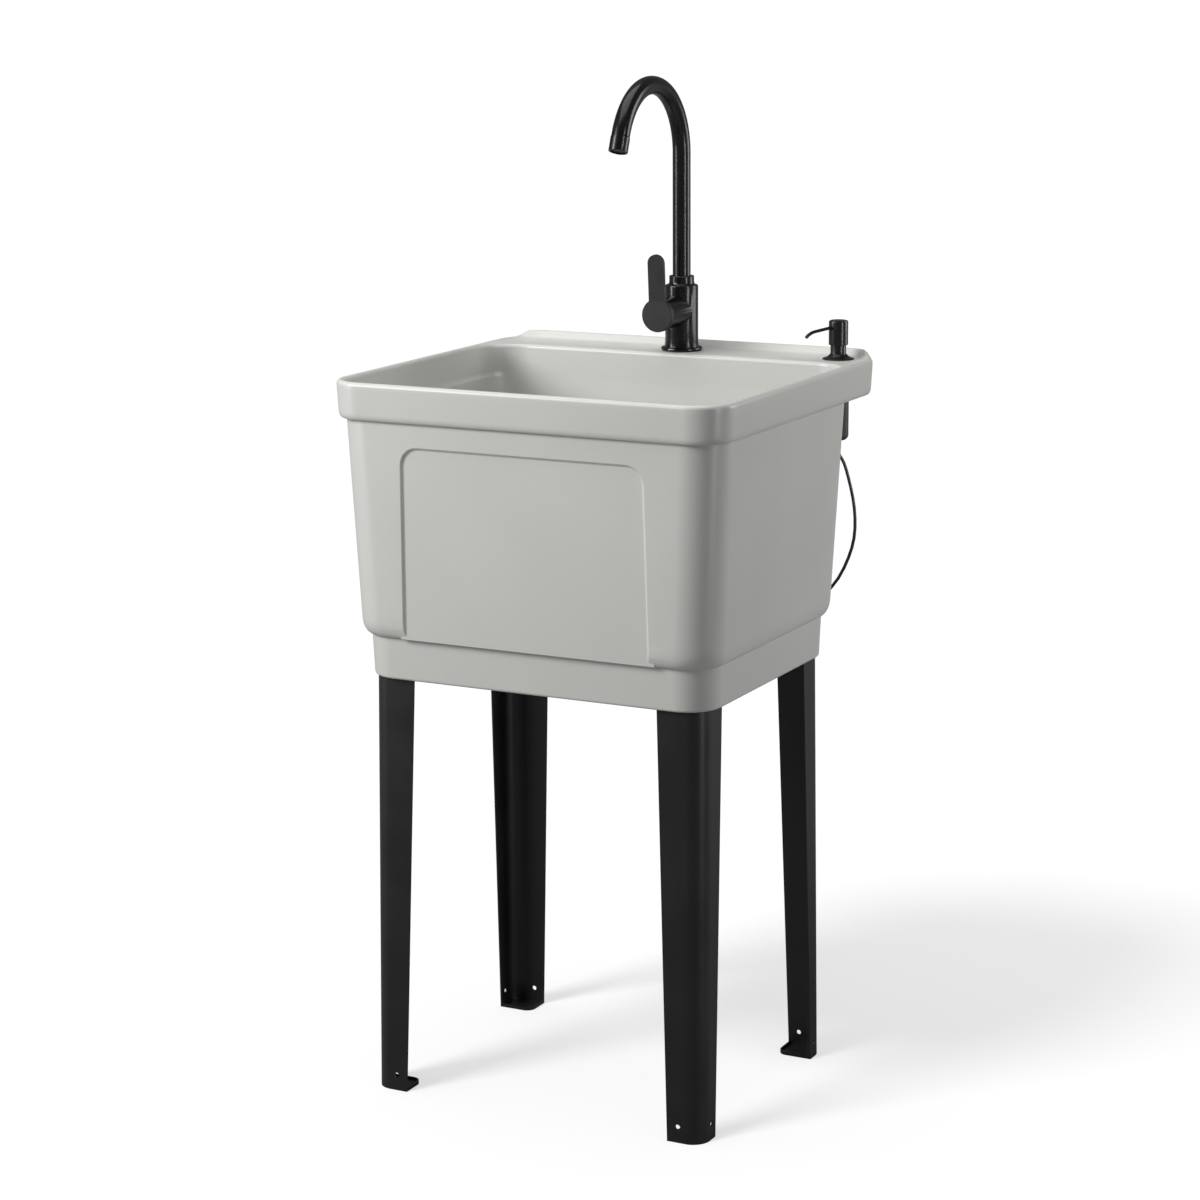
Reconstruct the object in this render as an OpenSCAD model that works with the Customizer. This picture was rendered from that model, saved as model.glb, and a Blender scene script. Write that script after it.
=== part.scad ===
// Laundry sink: a moulded tub on four splayed angle legs, with a high-arc tap and a soap pump.
// Millimetres. The origin is on the floor under the middle of the rim; the front faces -Y.

/* [Rim] */
// Width of the rim from side to side
rim_w = 502; // [440:1:640]
// Depth of the rim from front to back
rim_d = 472; // [430:1:560]
// Height of the rim above the floor
rim_h = 860; // [780:1:960]
// Corner radius of the rim in plan
rim_r = 45; // [38:1:60]
// Thickness of the rounded lip round the rim
lip_t = 10; // [8:0.5:13]
// Height of the rounding on the lip
lip_round_h = 4.6; // [3:0.1:6]
// Height of the band that hangs from the lip
band_h = 44; // [36:1:60]
// Draft of the band over its height
band_draft = 1.6; // [0.5:0.1:2]
// Height of the rounding at the foot of the band
band_round_h = 8; // [4:0.5:12]
// Inward reach of the rounding at the foot of the band
band_round_in = 4.5; // [2:0.5:5]

/* [Basin] */
// Inset of the basin wall from the rim at the sides
side_inset = 7.5; // [7:0.5:20]
// Inset of the basin wall from the rim at the front
front_inset = 8.5; // [8:0.5:20]
// Inset of the basin wall from the rim at the back, under the deck
back_inset = 69; // [66:1:80]
// Height of the tapered basin wall below the band
basin_h = 256.4; // [200:0.2:300]
// Taper of each side wall over that height
side_taper = 12; // [4:0.5:20]
// Taper of the front wall over that height
front_taper = 6.9; // [2:0.1:14]
// Taper of the back wall over that height
back_taper = 11; // [4:0.5:20]
// Thickness of the basin wall
wall_t = 6.5; // [5:0.25:8]
// Outer corner radius of the basin
basin_r = 45; // [40:1:60]
// Inner corner radius of the basin
basin_in_r = 42; // [36:1:50]
// Height of the rounding where the wall turns under
turn_h = 18; // [10:1:26]
// Radius between the basin floor and its walls
floor_r = 20; // [12:1:30]
// Thickness of the basin floor at the drain
floor_t = 8; // [6:0.5:10]
// Fall of the basin floor from its walls to the drain
floor_fall = 6; // [3:0.5:10]

/* [Collar] */
// Step in from the side wall to the collar
collar_in_side = 7.3; // [5:0.1:10]
// Step in from the front wall to the collar
collar_in_front = 10.4; // [7:0.1:12]
// Step in from the back wall to the collar
collar_in_back = 10.6; // [7:0.1:13]
// Height of the collar
collar_h = 50.3; // [44:0.1:70]
// Draft of the collar over its height
collar_draft = 1.6; // [0.5:0.1:3]
// Wall thickness of the collar
collar_t = 5; // [4:0.25:6]
// Rounding of the collar's lower edge
collar_round = 3.5; // [2:0.5:4]

/* [Panel] */
// Half width of the recessed front panel at its top
panel_half_top = 153.5; // [120:0.5:170]
// Half width of the recessed front panel at its foot
panel_half_low = 157; // [120:0.5:172]
// Drop of the panel's top edge below the band
panel_drop = 29; // [20:1:60]
// Corner radius of the panel
panel_r = 21; // [12:1:32]
// Depth of the panel
panel_depth = 3.2; // [2:0.2:8.4]
// Width of the soft slope round the panel
panel_slope = 4.4; // [3:0.2:6]

/* [Deck] */
// Drop of the tap deck below the rim
deck_drop = 2.7; // [1:0.1:5]
// Thickness of the tap deck
deck_t = 6; // [5:0.5:8]
// Radius of the deck's front edge
nose_r = 4.5; // [3:0.5:6]
// Depth of the raised back lip
back_lip_d = 16.5; // [14:0.5:22]
// Rise of the back lip above the rim
back_lip_rise = 6.6; // [3:0.2:10]
// Thickness of the skirt that hangs round the space under the deck
skirt_t = 8; // [6.5:0.5:10]

/* [Legs] */
// Thickness of the leg steel
leg_t = 2; // [1.5:0.1:3]
// Outer corner radius of a leg
leg_r = 21.2; // [12:0.2:24]
// Width of the front and back flange at the collar
flange_x_top = 57.3; // [50:0.1:70]
// Width of the front and back flange at the floor
flange_x_low = 44.4; // [38:0.1:50]
// Width of the side flange at the collar
flange_y_top = 51.1; // [44:0.1:60]
// Width of the side flange at the floor
flange_y_low = 36.8; // [32:0.1:44]
// Sideways splay of a leg from the collar to the floor
splay_x = 3.4; // [0:0.1:10]
// Fore-and-aft splay of a leg from the collar to the floor
splay_y = 8.5; // [0:0.1:16]
// Length of leg inside the collar
leg_insert = 38.7; // [30:0.1:40]
// Thickness of the foot plate
foot_t = 2; // [1.5:0.1:4]
// Height of the turned-up rim round the foot plate
foot_rim_h = 4.6; // [3:0.1:8]
// Corner radius of the foot plate
foot_r = 11; // [6:0.5:14]
// Diameter of the floor fixing holes
foot_hole_d = 6; // [4:0.1:8]
// Height of the floor fixing holes
foot_hole_z = 19; // [14:0.5:26]
// Distance of the front fixing hole from the leg's outer corner
foot_hole_x = 31; // [24:0.5:34]
// Distance of the side fixing hole from the leg's outer corner
foot_hole_y = 26.5; // [24:0.5:30]
// Shank diameter of the leg screws
screw_d = 4.8; // [4:0.1:6]
// Length of the leg screws under the head
screw_l = 9; // [7:0.5:10]

/* [Tap] */
// Distance of the tap's axis from the back of the rim
tap_from_back = 41; // [39:0.5:46]
// Diameter of the tap hole
tap_hole_d = 35; // [33:0.5:36]
// Diameter of the base flange
tap_base_d = 51; // [46:0.5:54]
// Height of the base flange
tap_base_h = 4.2; // [3:0.1:6]
// Diameter of the tap body
tap_body_d = 40.6; // [36:0.2:44]
// Height of the tap body above the flange
tap_body_h = 75.7; // [70:0.1:90]
// Diameter of the neck ring
neck_d = 30.6; // [28:0.2:34]
// Height of the neck ring
neck_h = 11; // [8:0.5:16]
// Outer diameter of the spout tube
spout_d = 22; // [18:0.2:24]
// Wall of the spout tube
spout_wall = 2; // [1:0.1:3]
// Height of the straight part of the spout above the neck ring
spout_rise = 148.8; // [100:0.2:220]
// Radius of the spout's bend along its centre line
spout_bend_r = 85.1; // [60:0.1:110]
// Angle of the spout's bend
spout_bend_a = 159; // [120:1:175]
// Length of the straight spout tip
spout_tip = 20; // [16:0.5:40]
// Height of the valve barrel's axis above the deck
barrel_z = 49.8; // [40:0.2:54]
// Diameter of the valve barrel
barrel_d = 37; // [32:0.2:38]
// Reach of the valve barrel from the tap's axis
barrel_l = 61.6; // [46:0.2:66]
// Diameter of the handle's disc
handle_d = 40.5; // [38:0.1:44]
// Thickness of the handle's disc
handle_t = 6.8; // [6.2:0.1:9]
// Gap between the handle and the barrel
handle_gap = 1.4; // [1:0.1:3]
// Width of the handle's paddle
paddle_w = 21.5; // [14:0.5:26]
// Thickness of the paddle
paddle_t = 3.8; // [3:0.1:6]
// Length of the paddle from the disc's centre
paddle_l = 74; // [50:0.5:90]
// Forward lean of the paddle in degrees
paddle_lean = 4; // [0:0.5:10]
// Diameter of the threaded shank under the deck
shank_d = 32; // [30:0.5:32.5]
// Length of the threaded shank below the deck's underside
shank_l = 45; // [36:1:70]

/* [Drain] */
// Diameter of the drain hole
drain_hole_d = 90; // [80:1:96]
// Diameter of the strainer's flange
drain_flange_d = 114; // [106:1:118]
// Thickness of the strainer's flange
drain_flange_t = 2.5; // [1.5:0.1:4]
// Diameter of the strainer's threaded body
drain_body_d = 86; // [74:1:89]
// Depth of the strainer's bowl below the basin floor
drain_bowl_h = 52; // [44:1:60]
// Diameter of the threaded outlet
outlet_d = 48; // [38:1:52]
// Length of the threaded outlet
outlet_l = 26; // [16:1:30]

/* [Soap pump] */
// Distance of the soap pump's axis from the side of the rim
soap_from_side = 43.5; // [42:0.5:70]
// Distance of the soap pump's axis from the back of the rim
soap_from_back = 39; // [38:0.5:44]
// Diameter of the pump's flange
soap_flange_d = 38.5; // [34:0.5:42]
// Height of the pump's domed flange
soap_flange_h = 6.7; // [4:0.1:9]
// Diameter of the pump's neck
soap_neck_d = 19; // [16:0.2:20]
// Height of the neck that shows under the head
soap_show = 10.5; // [8:0.5:14]
// Diameter of the pump's head
soap_head_d = 23.3; // [22:0.1:27]
// Height of the pump's head
soap_head_h = 30; // [26:0.5:38]
// Diameter of the threaded shank
soap_shank_d = 26.6; // [24:0.2:27]
// Length of the threaded shank below the deck's underside
soap_shank_l = 92.3; // [70:0.1:110]
// Length of the nozzle's straight part
nozzle_l = 30; // [16:0.5:40]
// Bend radius of the nozzle's tip
nozzle_r = 26; // [16:1:40]
// Diameter of the nozzle
nozzle_d = 4; // [3:0.1:5]
// Direction of the nozzle in plan, in degrees from +X
nozzle_a = 245; // [200:1:270]
// Diameter of the suction tube
tube_d = 4; // [3.4:0.1:4.4]

/* [Hidden] */
$fn = 64;

// Running clearance of a pin in its bore, on the radius
run_c = 0.05;
// Clearance between pieces that are slipped together by hand
slip_c = 0.3;
// Overrun of a cut past the face that it opens
over = 2;
// Segments in each corner of the tub
corner_n = 14;
// Distance of the helper points beside each corner
corner_sup = 4.5;

// Tub levels and half sizes, all from the rim
rim_x = rim_w / 2;
rim_y = rim_d / 2;
band_z = rim_h - band_h;
ledge_z = band_z - basin_h;
collar_z = ledge_z - collar_h;
deck_z = rim_h - deck_drop;
deck_low_z = deck_z - deck_t;
body_x = rim_x - side_inset;
body_f = rim_y - front_inset;
body_b = rim_y - back_inset;
body_x1 = body_x - side_taper;
body_f1 = body_f - front_taper;
body_b1 = body_b - back_taper;
col_x = body_x1 - collar_in_side;
col_f = body_f1 - collar_in_front;
col_b = body_b1 - collar_in_back;
col_x1 = col_x - collar_draft;
col_f1 = col_f - collar_draft;
col_b1 = col_b - collar_draft;
floor_z = ledge_z + floor_fall;
drain_y = (body_b1 - body_f1) / 2;
pad_z = ledge_z - floor_t;
pad_r = drain_flange_d / 2 + over * 2;

// Share of a back corner over which a level line climbs from the sides to the back
nose_climb_share = [0.1, 0.5];
lip_climb_share = [0.33, 0.69];
flat_climb_share = [0, 1];
// Height of the inner ledge below the top of the band, as shares of the band
step_z_share = [0.02, 0.07, 0.12, 0.2];
// Width of the inner ledge, as shares of the way from the basin wall to the band
step_in_share = [0, 0.35, 0.85, 1];
// Back lip profile: depth and height as shares of the lip's depth and rise
lip_back_share = [[0, 0], [0.18, 0.06], [0.34, 0.27], [0.48, 0.6], [0.62, 0.93], [0.76, 1], [0.93, 0.86],
    [1, 0.52]];

function smooth(t) = t <= 0 ? 0 : (t >= 1 ? 1 : t * t * (3 - 2 * t));
function climb(t, s) = smooth((t - s[0]) / (s[1] - s[0]));
function clamp01(t) = t < 0 ? 0 : (t > 1 ? 1 : t);

// One corner of a level line: centre, radius, start angle, the helper distance and the heights
function arc_points(cx, cy, r, a0, sup, zs, zb, s, back) = [
    for (i = [-1 : corner_n + 1])
    let (t = clamp01(i / corner_n))
    let (a = a0 + 90 * t)
    let (e = i < 0 ? -sup : (i > corner_n ? sup : 0))
    let (h = back == 0 ? 0 : (back == 1 ? climb(t, s) : climb(1 - t, s)))
    [cx + r * cos(a) - e * sin(a), cy + r * sin(a) + e * cos(a), zs + (zb - zs) * h]
];

// A level line round the tub, counter-clockwise from above. v holds half width, front, back,
// front radius, back radius, height at the sides, height at the back and the climbing share.
function ring(v, sup) = concat(
    arc_points(v[0] - v[3], v[3] - v[1], v[3], -90, sup, v[5], v[6], v[7], 0),
    arc_points(v[0] - v[4], v[2] - v[4], v[4], 0, sup, v[5], v[6], v[7], 1),
    arc_points(v[4] - v[0], v[2] - v[4], v[4], 90, sup, v[5], v[6], v[7], 2),
    arc_points(v[3] - v[0], v[3] - v[1], v[3], 180, sup, v[5], v[6], v[7], 0)
);

// Point that the end faces are fanned from, inside a rounded corner
cap_from = 6;
// A solid skinned over a stack of closed lines that all have the same number of points
module skin(lines) {
    m = len(lines[0]);
    n = len(lines);
    points = [for (l = lines) for (p = l) p];
    sides = [
        for (j = [0 : n - 2]) for (i = [0 : m - 1]) for (k = [0, 1])
        let (a = j * m + i)
        let (b = j * m + (i + 1) % m)
        k == 0 ? [a, b, b + m] : [a, b + m, a + m]
    ];
    first = [[for (i = [m : -1 : 1]) (i + cap_from) % m]];
    last = [[for (i = [0 : m - 1]) (n - 1) * m + (i + cap_from) % m]];
    polyhedron(points = points, faces = concat(first, sides, last));
}

// Body line at a share of the way down the tapered wall, moved in by e
function wall_line(t, e, r, z) = [
    body_x - side_taper * t - e, body_f - front_taper * t - e, body_b - back_taper * t - e,
    r, r, z, z, flat_climb_share
];
function wall_share(z) = (band_z - z) / basin_h;

// Inner wall of the band, and the front edge of the deck that closes it at the back
band_in_x = rim_x - lip_t;
band_in_f = rim_y - lip_t;
band_in_r = rim_r - lip_t;
nose_y = body_b - wall_t;
nose_z = deck_z - nose_r;
nose_plan_r = basin_in_r + nose_r;
lip_low_z = rim_h - lip_round_h;

// The inner floor with its rounding up to the wall
floor_in_t = wall_share(floor_z + floor_r);
pad_corner_r = pad_r * 0.9;
drain_line = [pad_r, pad_r - drain_y, pad_r + drain_y, pad_corner_r, pad_corner_r, ledge_z, ledge_z,
    flat_climb_share];
floor_lines = [
    for (a = [0 : 18 : 90])
    wall_line(floor_in_t + floor_r / basin_h * (1 - sin(a)) * cos(a), wall_t + floor_r * (1 - sin(a)),
        basin_in_r - floor_r * (1 - sin(a)) * 0.7, floor_z + floor_r * (1 - cos(a)))
];

// The ledge between the basin wall and the band
function mix(a, b, t) = a + (b - a) * t;
step_low = wall_line(0, wall_t, basin_in_r, band_z);
function step_line(i) = [
    mix(step_low[0], band_in_x, step_in_share[i]),
    mix(step_low[1], band_in_f, step_in_share[i]),
    mix(step_low[2], nose_y, step_in_share[i]),
    mix(basin_in_r, band_in_r, step_in_share[i]),
    mix(basin_in_r, nose_plan_r, step_in_share[i]),
    band_z + band_h * step_z_share[i], band_z + band_h * step_z_share[i], flat_climb_share
];
step_lines = [for (i = [0 : 3]) step_line(i)];
band_in_top = [band_in_x, band_in_f, nose_y, band_in_r, nose_plan_r,
    lip_low_z - lip_round_h / 2, nose_z - nose_r / 2, nose_climb_share];

// The lip: level lines counted from the inside over the crown to the outside
lip_n = 13;
nose_n = 4;
function lip_out(j) = lip_t / 2 - lip_t / 2 * cos(180 * j / lip_n);
function lip_up(j) = lip_round_h * sin(180 * j / lip_n);
deck_back = rim_y - back_lip_d;
function lip_y(j) =
    j <= nose_n ? nose_y + nose_r * (1 - cos(90 * j / nose_n)) :
    (j == nose_n + 1 ? (nose_y + nose_r + deck_back) / 2 : deck_back
        + back_lip_d * lip_back_share[j - nose_n - 2][0]);
function lip_z(j) =
    j <= nose_n ? nose_z + nose_r * sin(90 * j / nose_n) :
    (j == nose_n + 1 ? deck_z : deck_z + (deck_drop + back_lip_rise) * lip_back_share[j - nose_n - 2][1]);
function lip_plan_r(j) =
    j <= nose_n ? nose_plan_r + nose_r * (1 - cos(90 * j / nose_n)) :
    (j == nose_n + 1 ? rim_r : rim_r - (rim_y - lip_y(j)) / 3);
lip_lines = [
    for (j = [0 : lip_n])
    [band_in_x + lip_out(j), band_in_f + lip_out(j), lip_y(j), band_in_r + lip_out(j), lip_plan_r(j),
        lip_low_z + lip_up(j), lip_z(j), j <= nose_n + 2 ? nose_climb_share : lip_climb_share]
];

// The outside of the band and its rounded foot
function band_line(e, z) = [
    rim_x - e, rim_y - e, rim_y - e, rim_r - e, rim_r - e, z, z, flat_climb_share
];
band_lines = concat(
    [band_line(band_draft * 0.1, lip_low_z - lip_round_h), band_line(band_draft, band_z + band_round_h)],
    [for (a = [20 : 17.5 : 90]) band_line(band_draft + band_round_in * (1 - cos(a)),
        band_z + band_round_h * (1 - sin(a)))]
);

// The outside of the basin wall, the turn at its foot, the collar and the hollow underneath
groove = band_round_h / 5;
turn_lines = [
    for (a = [0 : 18 : 90])
    [body_x1 - collar_in_side * (1 - cos(a)) + side_taper * turn_h / basin_h * (1 - sin(a)),
        body_f1 - collar_in_front * (1 - cos(a)) + front_taper * turn_h / basin_h * (1 - sin(a)),
        body_b1 - collar_in_back * (1 - cos(a)) + back_taper * turn_h / basin_h * (1 - sin(a)),
        basin_r - collar_in_side * (1 - cos(a)) / 2, basin_r - collar_in_side * (1 - cos(a)) / 2,
        ledge_z + turn_h * (1 - sin(a)), ledge_z + turn_h * (1 - sin(a)), flat_climb_share]
];
collar_r = basin_r - collar_in_side / 2;
function collar_line(e, z, t) = [
    col_x - collar_draft * t - e, col_f - collar_draft * t - e, col_b - collar_draft * t - e,
    collar_r - e, collar_r - e, z, z, flat_climb_share
];
under_z = ledge_z - floor_t / 2;
collar_lines = concat(
    [collar_line(0, collar_z + collar_round, 1)],
    [for (a = [30 : 30 : 90]) collar_line(collar_round * (1 - cos(a)),
    collar_z + collar_round * (1 - sin(a)), 1)],
    [collar_line(collar_t - collar_round / 4, collar_z, 1)],
    [collar_line(collar_t, collar_z + collar_round / 4, 1)],
    [collar_line(collar_t, under_z, 0)]
);
under_line = [pad_r, pad_r - drain_y, pad_r + drain_y, pad_corner_r, pad_corner_r, pad_z, pad_z,
    flat_climb_share];

module tub_shell() {
    skin(concat(
        [ring(drain_line, corner_sup / 5)],
        [for (v = floor_lines) ring(v, corner_sup)],
        [ring(wall_line(wall_share(floor_z + floor_r * 1.5), wall_t, basin_in_r,
        floor_z + floor_r * 1.5), corner_sup)],
        [for (v = step_lines) ring(v, corner_sup)],
        [ring(band_in_top, corner_sup)],
        [for (v = lip_lines) ring(v, corner_sup)],
        [for (v = band_lines) ring(v, corner_sup)],
        [ring(wall_line(0, 0, basin_r, band_z + groove), corner_sup)],
        [ring(wall_line(wall_share(band_z - band_round_h), 0, basin_r, band_z - band_round_h), corner_sup)],
        [ring(wall_line(wall_share(ledge_z + turn_h * 1.5), 0, basin_r, ledge_z + turn_h * 1.5),
        corner_sup)],
        [for (v = turn_lines) ring(v, corner_sup)],
        [for (v = collar_lines) ring(v, corner_sup)],
        [ring(under_line, corner_sup / 5)]
    ));
}

// Panel outline on the tapered front wall: u across, v up the wall, w into the wall
face_a = atan(front_taper / basin_h);
panel_top_v = (basin_h - panel_drop) / cos(face_a);
panel_seg = 8;
function on_face(u, v, w) = [
    u, -body_f1 - v * sin(face_a) + w * cos(face_a), ledge_z + v * cos(face_a) + w * sin(face_a)
];
function panel_half(v) = mix(panel_half_low, panel_half_top, v / panel_top_v);
function panel_line(low, e, w) = concat(
    [on_face(panel_half(low) + e, low, w)],
    [for (i = [0 : panel_seg]) on_face(panel_half_top + e - (panel_r + e) * (1 - cos(90 * i / panel_seg)),
        panel_top_v - panel_r + (panel_r + e) * sin(90 * i / panel_seg), w)],
    [for (i = [panel_seg : -1 : 0]) on_face((panel_r
        + e) * (1 - cos(90 * i / panel_seg)) - panel_half_top - e,
        panel_top_v - panel_r + (panel_r + e) * sin(90 * i / panel_seg), w)],
    [on_face(-panel_half(low) - e, low, w)]
);
// The slope round the panel, as shares of half its width and of the panel's depth
panel_slope_share = [[1, 0], [0.78, 0.03], [0.5, 0.14], [0.18, 0.38], [-0.18, 0.7], [-0.5, 0.9], [-0.78,
    0.98], [-1, 1]];
module panel_cut() {
    skin(concat(
        [panel_line(-collar_h / 4, panel_slope / 2, -over)],
        [for (s = panel_slope_share) panel_line(-collar_h / 4, panel_slope / 2 * s[0], panel_depth * s[1])]
    ));
}
// The same panel stands into the basin, so that the wall keeps its thickness
module panel_back() {
    skin([
        panel_line(floor_fall / 4, wall_t, wall_t / 2),
        panel_line(floor_fall / 4, wall_t * 0.9, panel_depth + wall_t * 0.55),
        panel_line(floor_fall / 4, wall_t * 0.75, panel_depth + wall_t * 0.75),
        panel_line(floor_fall / 4, wall_t * 0.4, panel_depth + wall_t * 0.85)
    ]);
}

// A rectangle with round corners, by its half sizes to the right, front and back
module round_box(x, f, b, r) {
    translate([-x, r - f]) square([2 * x, f + b - 2 * r]);
    translate([r - x, -f]) square([2 * (x - r), f + b]);
    for (sx = [-1, 1]) {
        translate([sx * (x - r), r - f]) circle(r = r);
        translate([sx * (x - r), b - r]) circle(r = r);
    }
}

// The open space under the deck, between the back wall and the hanging skirt
back_wall_gap = wall_t / 4;
module deck_pocket() {
    translate([0, 0, band_z - over])
    linear_extrude(deck_low_z - band_z + over)
    difference() {
        round_box(rim_x - skirt_t, rim_y - skirt_t, rim_y - skirt_t, rim_r - skirt_t);
        round_box(body_x + back_wall_gap, body_f + skirt_t, body_b + back_wall_gap,
            basin_r + back_wall_gap);
    }
}

// Legs: the outer corner of a leg at the floor, from the collar that holds it
pad_x = 3;
pad_front = 4;
pad_back = 4.4;
leg_top = collar_z + leg_insert;
leg_x = col_x1 - collar_t - pad_x + splay_x;
leg_f = col_f1 - collar_t - pad_front + splay_y;
leg_b = col_b1 - collar_t - pad_back + splay_y;
tilt_x = atan(splay_x / collar_z);
tilt_y = atan(splay_y / collar_z);
cut_x = atan((splay_x + flange_x_top - flange_x_low) / collar_z);
cut_y = atan((splay_y + flange_y_top - flange_y_low) / collar_z);

module at_leg(sx, sy) {
    translate([sx * leg_x, sy > 0 ? leg_b : -leg_f, 0])
    mirror([sx < 0 ? 1 : 0, 0, 0])
    mirror([0, sy < 0 ? 1 : 0, 0])
    children();
}

// A square with one round corner at its upper right, at x, y
module one_round(x, y, size, r) {
    translate([x - size, y - size]) square([size, size - r]);
    translate([x - size, y - size]) square([size - r, size]);
    translate([x - r, y - r]) circle(r = r);
}

module tilted() {
    rotate([tilt_y, -tilt_x, 0]) children();
}

// The tilted outline of a leg as a solid, grown by g, from height z0 to height z1
module leg_solid(g, z0, z1) {
    intersection() {
        tilted()
        translate([0, 0, -over * 2])
        linear_extrude(leg_top + over * 4)
        one_round(g, g, rim_r * 3, leg_r + g);
        translate([-flange_x_low - g, -rim_w / 2, 0])
        rotate([0, -cut_x, 0])
        translate([0, 0, -over * 4])
        cube([rim_w, rim_w, leg_top + over * 8]);
        translate([-rim_w / 2, -flange_y_low - g, 0])
        rotate([cut_y, 0, 0])
        translate([0, 0, -over * 4])
        cube([rim_w, rim_w, leg_top + over * 8]);
        translate([-rim_w / 2, -rim_w / 2, z0])
        cube([rim_w, rim_w, z1 - z0]);
    }
}

// The hollow side of a leg, inside both flanges, from height z0 to height z1
module leg_hollow(z0, z1) {
    intersection() {
        tilted()
        translate([0, 0, -over * 2])
        linear_extrude(leg_top + over * 8)
        one_round(-leg_t, -leg_t, rim_r * 3, leg_r - leg_t);
        translate([-rim_w / 2, -rim_w / 2, z0])
        cube([rim_w, rim_w, z1 - z0]);
    }
}

// The hollow of the foot, inside its turned-up rim
module foot_hollow() {
    translate([0, 0, foot_t])
    linear_extrude(foot_rim_h)
    intersection() {
        one_round(-leg_t, -leg_t, rim_r * 3, leg_r - leg_t);
        translate([leg_t - flange_x_low, leg_t - flange_y_low])
        union() {
            translate([foot_r - leg_t, 0]) square([rim_r, rim_r]);
            translate([0, foot_r - leg_t]) square([rim_r, rim_r]);
            translate([foot_r - leg_t, foot_r - leg_t]) circle(r = foot_r - leg_t);
        }
    }
}

// The round cut at the foot's free corner
module foot_corner() {
    translate([-flange_x_low - over, -flange_y_low - over, -over])
    linear_extrude(foot_rim_h + over)
    difference() {
        square([foot_r + over, foot_r + over]);
        translate([foot_r + over, foot_r + over]) circle(r = foot_r);
    }
}

screw_up = leg_insert / 2;
screw_x = flange_x_top - leg_r + leg_t;
screw_y = flange_y_top - leg_r + leg_t;
module at_screw(k) {
    tilted()
    translate(k == 0 ? [-screw_x, -leg_t, collar_z + screw_up] : [-leg_t, -screw_y, collar_z + screw_up])
    rotate(k == 0 ? [-90, 0, 0] : [0, 90, 0])
    children();
}

module leg() {
    difference() {
        leg_solid(0, 0, leg_top);
        leg_hollow(foot_rim_h, leg_top + over);
        foot_hollow();
        foot_corner();
        translate([-foot_hole_x, over - leg_t * 2, foot_hole_z])
        rotate([90, 0, 0])
        translate([0, 0, -over * 2]) cylinder(d = foot_hole_d, h = leg_t + over * 4);
        translate([over - leg_t * 2, -foot_hole_y, foot_hole_z])
        rotate([0, 90, 0])
        translate([0, 0, -over * 2]) cylinder(d = foot_hole_d, h = leg_t + over * 4);
        for (k = [0, 1]) at_screw(k) translate([0, 0, -over]) cylinder(r = screw_d / 2 + slip_c,
            h = leg_t + over * 2);
    }
}

head_d = screw_d * 1.9;
head_h = screw_d * 0.55;
module screw() {
    cylinder(d = screw_d, h = screw_l);
    translate([0, 0, -head_h / 2]) cylinder(d = head_d, h = head_h / 2);
    translate([0, 0, -head_h]) cylinder(d1 = head_d * 0.72, d2 = head_d, h = head_h / 2);
}

// The block in each corner of the collar that the leg is pushed up into
block_end = 4;
block_up = collar_round;
module leg_block(pad_y) {
    translate([-flange_x_top - splay_x - block_end, -flange_y_top - splay_y - block_end,
        collar_z + block_up])
    cube([flange_x_top + block_end + pad_x + collar_t / 2, flange_y_top + block_end + pad_y + collar_t / 2,
        under_z - collar_z - block_up + floor_t / 4]);
}

module leg_blocks() {
    for (sx = [-1, 1]) {
        at_leg(sx, -1) leg_block(pad_front);
        at_leg(sx, 1) leg_block(pad_back);
    }
}

module each_leg() {
    for (sx = [-1, 1]) for (sy = [-1, 1]) at_leg(sx, sy) children();
}

// Places on the deck
tap_y = rim_y - tap_from_back;
soap_x = rim_x - soap_from_side;
soap_y = rim_y - soap_from_back;
module at_tap(z) { translate([0, tap_y, z]) children(); }
module at_soap(z) { translate([soap_x, soap_y, z]) children(); }
module at_drain(z) { translate([0, drain_y, z]) children(); }

// The corner blocks are rounded off by the collar's own inner corner
module blocks_in_collar() {
    intersection() {
        leg_blocks();
        translate([0, 0, collar_z])
        linear_extrude(ledge_z - collar_z)
        round_box(col_x1 - collar_t / 2, col_f1 - collar_t / 2, col_b1 - collar_t / 2,
            collar_r - collar_t / 2);
    }
}

module tub() {
    color([0.8, 0.8, 0.78])
    difference() {
        union() {
            tub_shell();
            panel_back();
            blocks_in_collar();
        }
        panel_cut();
        deck_pocket();
        each_leg() leg_solid(slip_c / 2, collar_z - over, leg_top + slip_c / 2);
        each_leg() for (k = [0, 1]) at_screw(k) translate([0, 0,
            leg_t / 2]) cylinder(r = screw_d / 2 + run_c, h = screw_l);
        at_tap(deck_low_z - over) cylinder(d = tap_hole_d, h = deck_t + over * 2);
        at_soap(deck_low_z - over) cylinder(d = soap_shank_d + slip_c * 4, h = deck_t + over * 2);
        at_drain(pad_z - over) cylinder(d = drain_hole_d, h = floor_t + over * 2);
    }
}

module leg_front_right() { color([0.1, 0.1, 0.1]) at_leg(1, -1) leg(); }
module leg_front_left() { color([0.1, 0.1, 0.1]) at_leg(-1, -1) leg(); }
module leg_back_right() { color([0.1, 0.1, 0.1]) at_leg(1, 1) leg(); }
module leg_back_left() { color([0.1, 0.1, 0.1]) at_leg(-1, 1) leg(); }
module leg_screws() {
    color([0.6, 0.6, 0.6]) each_leg() for (k = [0, 1]) at_screw(k) screw();
}

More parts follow.
